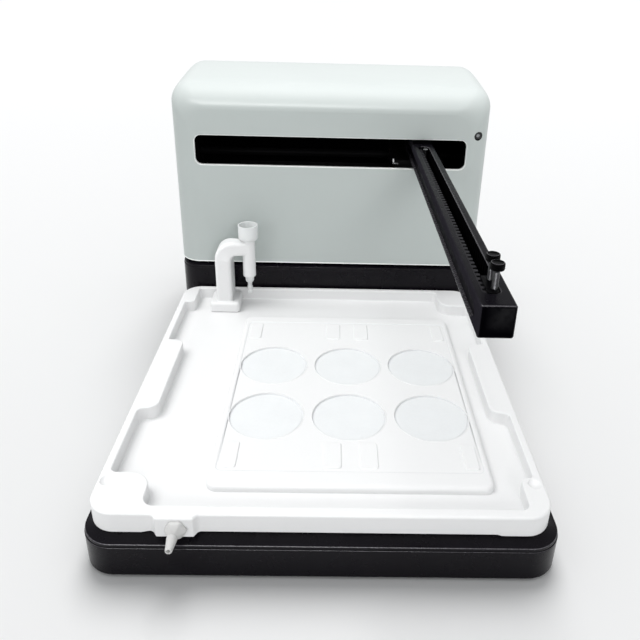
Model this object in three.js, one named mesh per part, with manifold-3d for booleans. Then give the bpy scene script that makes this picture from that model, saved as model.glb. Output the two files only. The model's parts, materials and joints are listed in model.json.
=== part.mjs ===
// Bench-top fraction collector: black L-shaped base, grey-green motor housing,
// traversing arm with a sliding head, lift-out drip tray and rinse station.
// Units are millimetres, +Z up, front of the machine towards -Y.
import * as THREE from 'three';
import { mergeVertices } from 'three/addons/utils/BufferGeometryUtils.js';
import Module from 'manifold-3d';

const wasm = await Module();
wasm.setup();

// ---- driving dimensions -------------------------------------------------
const GAP = 0.3;                 // clearance between neighbouring pieces
const FRAME_SHIFT = [0, -207, 2]; // working frame -> part frame

// base
const BASE_HW = 142.5;           // half width
const BASE_D = 427;              // depth
const BASE_RF = 20;              // plan radius, front
const BASE_RR = 26;              // plan radius, rear
const BASE_Z = 28;               // top of the front platform
const BLOCK_Y = 299.5;           // front of the raised rear block
const BLOCK_Z = 66;              // top of the rear block
const BASE_FIL = 3.5;            // top edge rounding
const WALL = 2.5;

// housing cover
const COV_HW = 143;
const COV_Y0 = 303;
const COV_Y1 = 427;
const COV_Z0 = 66.5;
const COV_RF = 20;
const COV_RR = 26;
const COV_RTOP = 16;
const COV_TOP = [[0, 216], [1.2, 217.6], [4, 220.4], [7, 223.4], [10, 226.2], [14, 229.6], [18, 231.9],
  [24, 233.1], [30, 233.8], [50, 235.9], [80, 238.6], [102, 239.4], [109, 238.2], [115.5, 234.6],
  [120.3, 229.0], [123, 222.6], [124, 217.4]];
const SLOT = { x0: -121.6, x1: 121.6, z0: 162.4, z1: 188.9, r: 5.7 };
const SCREW = { x: 131.7, z: 192.9 };

// arm
const ARM = { x0: 73.1, x1: 91.3, z0: 166.4, z1: 184.8, y0: -2.4, y1: 400 };
const ARM_SLOT = { x0: 77, x1: 86.3, y0: 10, y1: 296 };
const YP = { x: 83.7, y0: 5.4, y1: 340, rIn: 4.55, rOut: 5.85, rBody: 4.25 };
const HEAD = { y0: 11.7, y1: 33 };
const THUMB = { x: 84.2, y: [17.8, 28.5], rShank: 1.85, rHead: 4, z0: 171, zh: 194.5, z1: 198.3 };

// traverse drive
const XP = { x: 124.5, y: 361, rIn: 7.95, rOut: 9.3, rBody: 7.6, z0: 119.9, z1: 127.7 };
const ROD = { r: 4, z: 152, y: [330, 392] };
const CARR = { x0: 60, x1: 104, y0: 316, y1: 404, z0: 141, z1: 166.1 };

// tray
const TR = { cx: -0.7, hw: 136.4, y0: 5.2, y1: 297, r: 16, z0: 28.3, zu: 29.4, zf: 32.5, z1: 43 };
const PLAT = { x0: -73.5, x1: 107.2, y0: 34, y1: 250, z: 37.5, r: 7 };
const DRAIN = { x: -83.7, z: 33.8, y: 2 };
const STN = { x: -73.2, y: 277 };

// ---- helpers ------------------------------------------------------------
function solid(geo) {
  const g0 = geo.index ? geo.clone() : geo;
  g0.deleteAttribute('normal');
  g0.deleteAttribute('uv');
  const g = mergeVertices(g0, 1e-4);
  const mesh = new wasm.Mesh({
    numProp: 3,
    vertProperties: new Float32Array(g.attributes.position.array),
    triVerts: new Uint32Array(g.index.array),
  });
  return new wasm.Manifold(mesh);
}
function geometry(man) {
  const m = man.getMesh();
  const g = new THREE.BufferGeometry();
  g.setAttribute('position', new THREE.BufferAttribute(new Float32Array(m.vertProperties), 3));
  g.setIndex(new THREE.BufferAttribute(new Uint32Array(m.triVerts), 1));
  const flat = g.toNonIndexed();
  flat.computeVertexNormals();
  return flat;
}
const add = (a, ...b) => b.reduce((s, m) => s.add(m), a);
const cut = (a, ...b) => b.reduce((s, m) => s.subtract(m), a);

// corner list [[x, y, r], ...] -> outline points with rounded corners
function outline(pts, k = 4) {
  const out = [];
  const n = pts.length;
  for (let i = 0; i < n; i++) {
    const [px, py] = pts[(i + n - 1) % n];
    const [x, y, r] = pts[i];
    const [qx, qy] = pts[(i + 1) % n];
    if (!r) { out.push([x, y]); continue; }
    const a = new THREE.Vector2(px - x, py - y).normalize();
    const b = new THREE.Vector2(qx - x, qy - y).normalize();
    const ang = Math.acos(THREE.MathUtils.clamp(a.dot(b), -1, 1));
    const t = r / Math.tan(ang / 2);
    const bis = a.clone().add(b).normalize();
    const c = new THREE.Vector2(x, y).addScaledVector(bis, r / Math.sin(ang / 2));
    const p0 = new THREE.Vector2(x, y).addScaledVector(a, t);
    const p1 = new THREE.Vector2(x, y).addScaledVector(b, t);
    const a0 = Math.atan2(p0.y - c.y, p0.x - c.x);
    let d = Math.atan2(p1.y - c.y, p1.x - c.x) - a0;
    while (d > Math.PI) d -= 2 * Math.PI;
    while (d < -Math.PI) d += 2 * Math.PI;
    const m = Math.max(1, Math.round(k * Math.abs(d) / (Math.PI / 2)));
    for (let j = 0; j <= m; j++) out.push([c.x + r * Math.cos(a0 + d * j / m), c.y + r * Math.sin(a0 + d * j / m)]);
  }
  return out;
}
const rrect = (x0, x1, y0, y1, r, k = 4) => outline([[x0, y0, r], [x1, y0, r], [x1, y1, r], [x0, y1, r]], k);
const shape = (pts) => new THREE.Shape(pts.map(([x, y]) => new THREE.Vector2(x, y)));

function prismZ(pts, z0, z1) {
  const g = new THREE.ExtrudeGeometry(shape(pts), { depth: z1 - z0, bevelEnabled: false, steps: 1 });
  g.translate(0, 0, z0);
  return solid(g);
}
function prismY(pts, y0, y1) { // points are (x, z)
  const g = new THREE.ExtrudeGeometry(shape(pts), { depth: y1 - y0, bevelEnabled: false, steps: 1 });
  g.rotateX(Math.PI / 2);
  g.translate(0, y1, 0);
  return solid(g);
}
function prismX(pts, x0, x1) { // points are (y, z)
  const g = new THREE.ExtrudeGeometry(shape(pts), { depth: x1 - x0, bevelEnabled: false, steps: 1 });
  const m = new THREE.Matrix4().makeBasis(new THREE.Vector3(0, 1, 0), new THREE.Vector3(0, 0, 1), new THREE.Vector3(1, 0, 0));
  g.applyMatrix4(m);
  g.translate(x0, 0, 0);
  return solid(g);
}
function box(x0, x1, y0, y1, z0, z1) {
  const g = new THREE.BoxGeometry(x1 - x0, y1 - y0, z1 - z0);
  g.translate((x0 + x1) / 2, (y0 + y1) / 2, (z0 + z1) / 2);
  return solid(g);
}
function cylZ(x, y, r, z0, z1, n = 20, r2 = r) { // r at z0, r2 at z1
  const g = new THREE.CylinderGeometry(r2, r, z1 - z0, n);
  g.rotateX(Math.PI / 2);
  g.translate(x, y, (z0 + z1) / 2);
  return solid(g);
}
function cylX(y, z, r, x0, x1, n = 20) {
  const g = new THREE.CylinderGeometry(r, r, x1 - x0, n);
  g.rotateZ(Math.PI / 2);
  g.translate((x0 + x1) / 2, y, z);
  return solid(g);
}
function cylY(x, z, r, y0, y1, n = 20, r2 = r) { // r at y0, r2 at y1
  const g = new THREE.CylinderGeometry(r2, r, y1 - y0, n);
  g.translate(x, (y0 + y1) / 2, z);
  return solid(g);
}
function lathe(profile, n = 24) { // profile of [r, h] turned about the Y axis of the maker
  return new THREE.LatheGeometry(profile.map(([r, h]) => new THREE.Vector2(r, h)), n);
}
function latheZ(profile, x, y, n = 24) {
  const g = lathe(profile, n);
  g.rotateX(Math.PI / 2);
  g.translate(x, y, 0);
  return solid(g);
}
// closed skin through rings of equal point count
function loft(rings) {
  const n = rings[0].length;
  const pos = [];
  const idx = [];
  rings.forEach((r) => r.forEach((p) => pos.push(...p)));
  for (let i = 0; i + 1 < rings.length; i++) {
    for (let j = 0; j < n; j++) {
      const a = i * n + j;
      const b = i * n + (j + 1) % n;
      idx.push(a, b, b + n, a, b + n, a + n);
    }
  }
  const last = (rings.length - 1) * n;
  for (let j = 1; j + 1 < n; j++) {
    idx.push(0, j + 1, j);
    idx.push(last, last + j, last + j + 1);
  }
  let vol = 0;
  const v = (i) => new THREE.Vector3(pos[3 * i], pos[3 * i + 1], pos[3 * i + 2]);
  for (let i = 0; i < idx.length; i += 3) vol += v(idx[i]).dot(v(idx[i + 1]).cross(v(idx[i + 2])));
  if (vol < 0) idx.reverse();
  const g = new THREE.BufferGeometry();
  g.setAttribute('position', new THREE.Float32BufferAttribute(pos, 3));
  g.setIndex(idx);
  return solid(g);
}

// ---- assembly -----------------------------------------------------------
const root = new THREE.Group();
root.name = 'fraction_collector';
root.position.set(...FRAME_SHIFT);

const MATS = {
  black: { color: 0x1c1a1f, roughness: 0.42, metalness: 0.0 },
  cover: { color: 0xbcc5c1, roughness: 0.38, metalness: 0.0 },
  white: { color: 0xf1f2f3, roughness: 0.4, metalness: 0.0 },
  clear: { color: 0xdfe2e2, roughness: 0.3, metalness: 0.0 },
  anod: { color: 0x1a191d, roughness: 0.45, metalness: 0.3 },
  steel: { color: 0xb9bcc0, roughness: 0.25, metalness: 1.0 },
  zinc: { color: 0x8f9396, roughness: 0.45, metalness: 0.9 },
  alu: { color: 0x9da0a3, roughness: 0.4, metalness: 0.9 },
  rubber: { color: 0x17171a, roughness: 0.85, metalness: 0.0 },
  motor: { color: 0x2c2d30, roughness: 0.5, metalness: 0.5 },
  board: { color: 0x1f5c3a, roughness: 0.5, metalness: 0.0 },
  plastic: { color: 0x202124, roughness: 0.5, metalness: 0.0 },
  bushing: { color: 0x8a7a52, roughness: 0.5, metalness: 0.6 },
};
function node(name, man, mat, parent = root) {
  const mesh = new THREE.Mesh(geometry(man), new THREE.MeshStandardMaterial(MATS[mat]));
  mesh.name = name;
  parent.add(mesh);
  return mesh;
}
function group(name, parent = root) {
  const g = new THREE.Group();
  g.name = name;
  parent.add(g);
  return g;
}

// ---- base ---------------------------------------------------------------
const FOOT_X = 118;
const FOOT_Y = [30, 395];
{
  const base = group('base');
  // plan ring of the whole base, inset by d
  const ring = (d, z, y0 = 0, rf = BASE_RF) => outline([
    [-BASE_HW + d, y0 + d, rf - d], [BASE_HW - d, y0 + d, rf - d],
    [BASE_HW - d, BASE_D - d, BASE_RR - d], [-BASE_HW + d, BASE_D - d, BASE_RR - d]], 5)
    .map(([x, y]) => [x, y, z]);
  const f = BASE_FIL;
  const edge = (zt) => [[0, zt - f], [0.3 * f, zt - 0.29 * f], [f, zt]];
  const outer = loft([ring(0.7, 0), ring(0, 0.8),
    ...edge(BASE_Z).map(([d, z]) => ring(d, z))]);
  const block = loft([ring(0, 20, BLOCK_Y), ...edge(BLOCK_Z).map(([d, z]) => ring(d, z, BLOCK_Y))]);
  const hollow = loft([ring(WALL, -1), ring(WALL, BASE_Z - WALL)]);
  const hollow2 = loft([ring(WALL, 15, BLOCK_Y), ring(WALL, BLOCK_Z - WALL, BLOCK_Y)]);
  let shell = cut(add(outer, block), hollow, hollow2, box(-110, 110, 322, 408, 60, 70));
  for (const sx of [-1, 1]) {
    shell = add(shell, cylZ(sx * FOOT_X, FOOT_Y[0], 5.6, 2.4, BASE_Z - 1, 14));
    shell = add(shell, cylZ(sx * FOOT_X, FOOT_Y[1], 5.6, 2.4, BLOCK_Z - 1, 14));
    for (const y of FOOT_Y) shell = cut(shell, cylZ(sx * FOOT_X, y, 3, 1, 16, 14));
  }
  node('base_shell', shell, 'black', base);

  let plate = loft([ring(WALL + GAP, 0.6), ring(WALL + GAP, 2.1)]);
  for (const sx of [-1, 1]) for (const y of FOOT_Y) plate = cut(plate, cylZ(sx * FOOT_X, y, 3, -1, 4, 14));
  node('bottom_plate', plate, 'zinc', base);

  const foot = [[0, -2], [8, -2], [9, -1], [9, 0.2], [2.7, 0.2], [2.7, 14], [0, 14]];
  node('foot_front_left', latheZ(foot, -FOOT_X, FOOT_Y[0], 16), 'rubber', base);
  node('foot_front_right', latheZ(foot, FOOT_X, FOOT_Y[0], 16), 'rubber', base);
  node('foot_rear_left', latheZ(foot, -FOOT_X, FOOT_Y[1], 16), 'rubber', base);
  node('foot_rear_right', latheZ(foot, FOOT_X, FOOT_Y[1], 16), 'rubber', base);
  node('power_supply', cut(box(-60, 60, 328, 402, 2.4, 42), box(-50, 50, 320, 330, 12, 32)), 'zinc', base);
}

// ---- housing ------------------------------------------------------------
const WIN = { x: 93, z0: 82, z1: 128 };
{
  const housing = group('housing');
  const topAt = (t) => {
    for (let i = 0; i + 1 < COV_TOP.length; i++) {
      const [a, za] = COV_TOP[i];
      const [b, zb] = COV_TOP[i + 1];
      if (t <= b) return za + (zb - za) * (t - a) / (b - a);
    }
    return COV_TOP[COV_TOP.length - 1][1];
  };
  const halfAt = (t, d) => { // half width of the plan outline at depth t, inset d
    const depth = COV_Y1 - COV_Y0;
    const rf = COV_RF - d;
    const rr = COV_RR - d;
    const u = t - d;
    const v = depth - d - t;
    let w = COV_HW - d;
    if (u < rf) w = Math.min(w, COV_HW - COV_RF + Math.sqrt(Math.max(0, rf * rf - (rf - u) ** 2)));
    if (v < rr) w = Math.min(w, COV_HW - COV_RR + Math.sqrt(Math.max(0, rr * rr - (rr - v) ** 2)));
    return w;
  };
  const section = (t, hw, zb, zt, r) => {
    const pts = [[-hw, zb], [hw, zb]];
    const k = 5;
    for (let i = 0; i <= k; i++) pts.push([hw - r + r * Math.cos(i / k * Math.PI / 2), zt - r + r * Math.sin(i / k * Math.PI / 2)]);
    for (let i = 0; i <= k; i++) pts.push([-hw + r - r * Math.sin(i / k * Math.PI / 2), zt - r + r * Math.cos(i / k * Math.PI / 2)]);
    return pts.map(([x, z]) => [x, COV_Y0 + t, z]);
  };
  const outer = loft(COV_TOP.map(([t, z]) => section(t, halfAt(t, 0), COV_Z0, z, COV_RTOP)));
  const inT = [WALL, 5, 8.5, 12, 16.5, 24, 40, 80, 100, 107.5, 113.5, 118, 120.6, 124 - WALL];
  const inner = loft(inT.map((t) => section(t, halfAt(t, WALL), COV_Z0 + 3, topAt(t) - (t < 20 || t > 106 ? 3.5 : WALL), COV_RTOP - WALL)));
  const lip = prismZ(outline([[-COV_HW + 5.5, COV_Y0 + 5.5, 14.5], [COV_HW - 5.5, COV_Y0 + 5.5, 14.5],
    [COV_HW - 5.5, COV_Y1 - 5.5, 20.5], [-COV_HW + 5.5, COV_Y1 - 5.5, 20.5]], 4), 60, COV_Z0 + 8);
  let cover = cut(outer, inner, lip);
  cover = add(cover, cylY(SCREW.x, SCREW.z, 6, 303, 312.6, 16).intersect(outer));
  cover = cut(cover,
    prismY(rrect(SLOT.x0, SLOT.x1, SLOT.z0, SLOT.z1, SLOT.r, 4), 298, 308),
    cylY(SCREW.x, SCREW.z, 3.9, 298, 310, 20),
    cylY(SCREW.x, SCREW.z, 2.1, 298, 315, 12),
    prismY(rrect(-WIN.x, WIN.x, WIN.z0, WIN.z1, 3, 3), 420, 430));
  node('housing_cover', cover, 'cover', housing);

  node('cover_screw', add(cut(cylY(SCREW.x, SCREW.z, 3.5, 307.4, 309.7, 16), cylY(SCREW.x, SCREW.z, 1.6, 300, 308.8, 6)),
    cylY(SCREW.x, SCREW.z, 1.75, 309.5, 320, 10)), 'anod', housing);

  // recessed connector panel
  let panel = add(box(-98, 98, 422.2, 424.2, 77, 133), box(-95.3, 95.3, 415, 424.2, 79.7, 130.3));
  panel = cut(panel, box(-WIN.x, WIN.x, 417, 426, WIN.z0, WIN.z1),
    box(-79.3, -50.7, 410, 420, 94.7, 115.3),
    box(-34.2, -15.8, 410, 420, 92.1, 117.9),
    box(15.2, 34.8, 410, 420, 100.2, 109.8),
    box(49.2, 80.8, 410, 420, 100.2, 109.8));
  node('rear_panel', panel, 'anod', housing);

  // three-pin inlet
  let inlet = add(box(-79, -51, 398, 417.5, 95, 115), box(-89, -41, 417.3, 419.2, 93, 117));
  inlet = cut(inlet, prismY(outline([[-77, 97.5, 1], [-53, 97.5, 1], [-53, 109, 0], [-57, 113, 0], [-73, 113, 0], [-77, 109, 0]], 2), 403, 421));
  for (const [x, z] of [[-72, 103], [-65, 107.5], [-58, 103]]) inlet = add(inlet, box(x - 1, x + 1, 402, 417, z - 2, z + 2));
  node('power_inlet', inlet, 'plastic', housing);

  // rocker switch
  let sw = add(box(-33.9, -16.1, 404, 417.5, 92.4, 117.6), box(-36, -14, 417.3, 419, 90, 120));
  sw = cut(sw, box(-32, -18, 407, 421, 94.2, 115.8), cylX(412, 105, 1.6, -33, -17, 10));
  node('power_switch_frame', sw, 'plastic', housing);
  const tilt = THREE.MathUtils.degToRad(7);
  const rk = [[-2.5, -5], [4.2, -9.6], [6.8, -9.6], [5.6, 0], [6.8, 9.6], [4.2, 9.6], [-2.5, 5]]
    .map(([a, b]) => [412 + a * Math.cos(tilt) - b * Math.sin(tilt), 105 + a * Math.sin(tilt) + b * Math.cos(tilt)]);
  node('power_switch_rocker', add(prismX(rk, -31.6, -18.4), cylX(412, 105, 1.2, -32.7, -17.3, 10)), 'plastic', housing);

  const dsub = (cx, w) => {
    let c = add(box(cx - w - 7, cx + w + 7, 417.3, 418.3, 98.7, 111.3), box(cx - w + 0.4, cx + w - 0.4, 400, 417.5, 100.6, 109.4));
    const d = (g) => outline([[cx - w + 1.8 + g, 101.2 + g, 1], [cx + w - 1.8 - g, 101.2 + g, 1], [cx + w - 0.4 - g, 108.8 - g, 1], [cx - w + 0.4 + g, 108.8 - g, 1]], 2);
    c = add(c, prismY(d(0), 418, 423.5));
    return cut(c, prismY(d(0.9), 412, 425), cylY(cx - w - 4, 105, 1.5, 410, 425, 8), cylY(cx + w + 4, 105, 1.5, 410, 425, 8));
  };
  node('serial_connector', dsub(25, 9.8), 'zinc', housing);
  node('io_connector', dsub(65, 15.8), 'zinc', housing);
}

// ---- internal chassis and traverse drive --------------------------------
{
  const drive = group('drive');
  let ch = prismZ(outline([[-137.1, 309, 14.1], [137.1, 309, 14.1], [137.1, 421, 20.1], [-137.1, 421, 20.1]], 4), 66.3, 68.3);
  ch = cut(ch, box(-104, 104, 330, 400, 60, 70));
  for (const sx of [-1, 1]) {
    const a = Math.min(sx * 133.6, sx * 136.6);
    const b = Math.max(sx * 133.6, sx * 136.6);
    ch = add(ch, box(a, b, 320, 340, 67, sx > 0 ? 200 : 165), box(a, b, 382, 402, 67, 165));
    ch = add(ch, box(Math.min(sx * 108, sx * 136.5), Math.max(sx * 108, sx * 136.5), 340.5, 381.5, 114, 116));
    ch = add(ch, box(a, b, 338, 384, 114, 116));
    for (const y of ROD.y) ch = cut(ch, cylX(y, ROD.z, ROD.r + GAP, sx * 137 - 6, sx * 137 + 6, 16));
    for (const y of [316, 408]) ch = add(ch, cylZ(sx * 92, y, 3.2, 68, 73, 8));
  }
  ch = cut(ch, cylZ(-XP.x, XP.y, 3.2, 110, 120, 14), cylZ(XP.x, XP.y, 2.5, 110, 120, 14));
  ch = add(ch, box(126, 135.4, 313.2, 315.7, 186, 200), box(132, 135.4, 315, 322, 186, 200));
  ch = cut(ch, cylY(SCREW.x, SCREW.z, 2.05, 306, 324, 10));
  node('chassis_frame', ch, 'zinc', drive);

  node('guide_rod_front', cylX(ROD.y[0], ROD.z, ROD.r, -136.6, 136.6, 16), 'steel', drive);
  node('guide_rod_rear', cylX(ROD.y[1], ROD.z, ROD.r, -136.6, 136.6, 16), 'steel', drive);

  node('x_motor', add(prismZ(outline([[-XP.x - 14, XP.y - 14, 2.5], [-XP.x + 14, XP.y - 14, 2.5],
    [-XP.x + 14, XP.y + 14, 2.5], [-XP.x - 14, XP.y + 14, 2.5]], 1), 70, 113.7), cylZ(-XP.x, XP.y, 2.5, 113, 130, 14)), 'motor', drive);
  node('x_idler_pin', latheZ([[0, 110.5], [4, 110.5], [4, 113.7], [2.2, 113.7], [2.2, 116.3], [4, 116.3], [4, 118.3], [2.2, 118.3], [2.2, 130], [0, 130]], XP.x, XP.y, 14), 'steel', drive);

  const pulley = (bore, x, y, rb, rf, z0, z1, n) => latheZ([[bore, z0 - 1.3], [rf, z0 - 1.3], [rf, z0 - 0.3], [rb, z0 - 0.3],
    [rb, z1 + 0.3], [rf, z1 + 0.3], [rf, z1 + 1.3], [bore, z1 + 1.3], [bore, z0 - 1.3]], x, y, n);
  node('x_drive_pulley', pulley(2.8, -XP.x, XP.y, XP.rBody, 8.6, XP.z0, XP.z1, 20), 'alu', drive);
  node('x_idler_pulley', pulley(2.5, XP.x, XP.y, XP.rBody, 8.6, XP.z0, XP.z1, 20), 'alu', drive);

  const loop = (x0, x1, y0, y1, r) => outline([[x0 - r, y0 - r, r - 0.001], [x1 + r, y0 - r, r - 0.001], [x1 + r, y1 + r, r - 0.001], [x0 - r, y1 + r, r - 0.001]], 5);
  node('x_belt', cut(prismZ(loop(-XP.x, XP.x, XP.y, XP.y, XP.rOut), XP.z0, XP.z1),
    prismZ(loop(-XP.x, XP.x, XP.y, XP.y, XP.rIn), XP.z0 - 1, XP.z1 + 1)), 'rubber', drive);

  let pcb = box(-96, 96, 312, 412, 73.3, 74.9);
  pcb = cut(pcb, box(-80, 80, 378, 420, 70, 80));
  for (const [x, y, w, d, h] of [[-60, 345, 22, 22, 3], [-20, 340, 14, 20, 9], [20, 350, 26, 14, 4], [60, 342, 12, 30, 12], [-40, 366, 40, 8, 8], [45, 368, 30, 6, 9]]) {
    pcb = add(pcb, box(x - w / 2, x + w / 2, y - d / 2, y + d / 2, 74.5, 74.9 + h));
  }
  node('control_board', pcb, 'board', drive);
  node('home_sensor', cut(box(-131, -121, 374, 381, 116.3, 130), box(-127.5, -124.5, 370, 385, 122, 132)), 'plastic', drive);
}

// ---- travelling arm -----------------------------------------------------
{
  const arm = group('arm');
  const A = ARM;
  let beam = prismY(outline([[A.x0, A.z0, 1.4], [A.x1, A.z0, 1.4], [A.x1, A.z1, 1.1], [A.x0, A.z1, 1.1]], 2), A.y0, A.y1);
  beam = cut(beam,
    box(76.3, 89.9, -0.9, 352, 168.4, 182.8),
    prismZ(rrect(ARM_SLOT.x0, ARM_SLOT.x1, ARM_SLOT.y0, ARM_SLOT.y1, 4.05, 4), 181, 187),
    prismX(outline([[9, 168.4, 0], [402, 168.4, 0], [402, 178.6, 0], [14, 178.6, 2]], 2), A.x0 - 1, 75),
    cylZ(YP.x, YP.y1, 3.2, 181, 187, 14));
  node('arm_beam', beam, 'anod', arm);

  const C = CARR;
  let carr = prismX(outline([[C.y0, C.z0, 3], [C.y1, C.z0, 3], [C.y1, C.z1, 2], [C.y0, C.z1, 2]], 1), C.x0, C.x1);
  carr = cut(carr, cylX(ROD.y[0], ROD.z, 6.5, C.x0 - 1, C.x1 + 1, 20), cylX(ROD.y[1], ROD.z, 6.5, C.x0 - 1, C.x1 + 1, 20),
    box(C.x0 - 1, C.x1 + 1, 344, 378, 146, 162));
  node('x_carriage', carr, 'alu', arm);
  const bush = (y) => cut(cylX(y, ROD.z, 6.2, C.x0 + 0.3, C.x1 - 0.3, 20), cylX(y, ROD.z, ROD.r + 0.35, C.x0 - 2, C.x1 + 2, 20));
  node('bushing_front', bush(ROD.y[0]), 'bushing', arm);
  node('bushing_rear', bush(ROD.y[1]), 'bushing', arm);
  node('belt_clamp', add(box(75.5, 87.5, 370.6, 376.5, 118, 140.7), box(70, 93, 350, 376.5, 138.7, 140.7)), 'zinc', arm);

  node('y_motor', add(prismZ(outline([[YP.x - 14, YP.y1 - 14, 2.5], [YP.x + 14, YP.y1 - 14, 2.5],
    [YP.x + 14, YP.y1 + 14, 2.5], [YP.x - 14, YP.y1 + 14, 2.5]], 1), A.z1 + GAP, 223), cylZ(YP.x, YP.y1, 2, 171, 186, 12)), 'motor', arm);
  node('y_idler_pin', cylZ(YP.x, YP.y0, 1.5, 169.5, 182.5, 10), 'steel', arm);
  node('rear_stop_pin', add(cylZ(83.4, 291.5, 1.5, 169.5, 183, 10), cylZ(83.4, 291.5, 2.2, 182.6, 184, 10)), 'steel', arm);

  const loop = (r) => outline([[YP.x - r, YP.y0 - r, r - 0.001], [YP.x + r, YP.y0 - r, r - 0.001], [YP.x + r, YP.y1 + r, r - 0.001], [YP.x - r, YP.y1 + r, r - 0.001]], 4);
  node('y_belt', cut(prismZ(loop(YP.rOut), 174.6, 182.4), prismZ(loop(YP.rIn), 173, 184)), 'rubber', arm);
  const yp = (bore, y) => latheZ([[bore, 173.3], [5.5, 173.3], [5.5, 174.3], [YP.rBody, 174.3], [YP.rBody, 182.4], [bore, 182.4], [bore, 173.3]], YP.x, y, 16);
  node('y_idler_pulley', yp(1.8, YP.y0), 'alu', arm);
  node('y_drive_pulley', yp(2.3, YP.y1), 'alu', arm);

  const head = group('head', arm);
  let hc = add(box(80.2, 87.2, HEAD.y0, HEAD.y1, 172.5, 182.5), box(76.7, 89.5, HEAD.y0, HEAD.y1, 169.5, 173.0));
  for (const y of THUMB.y) hc = cut(hc, cylZ(THUMB.x, y, THUMB.rShank + GAP, 170.7, 184, 14));
  node('head_carriage', hc, 'anod', head);
  const ts = (y) => latheZ([[0, THUMB.z0], [THUMB.rShank, THUMB.z0], [THUMB.rShank, THUMB.zh], [THUMB.rHead - 0.4, THUMB.zh],
    [THUMB.rHead, THUMB.zh + 0.4], [THUMB.rHead, THUMB.z1 - 0.6], [THUMB.rHead - 0.6, THUMB.z1], [0, THUMB.z1]], THUMB.x, y, 16);
  node('thumbscrew_front', ts(THUMB.y[0]), 'anod', head);
  node('thumbscrew_rear', ts(THUMB.y[1]), 'anod', head);
}

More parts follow.
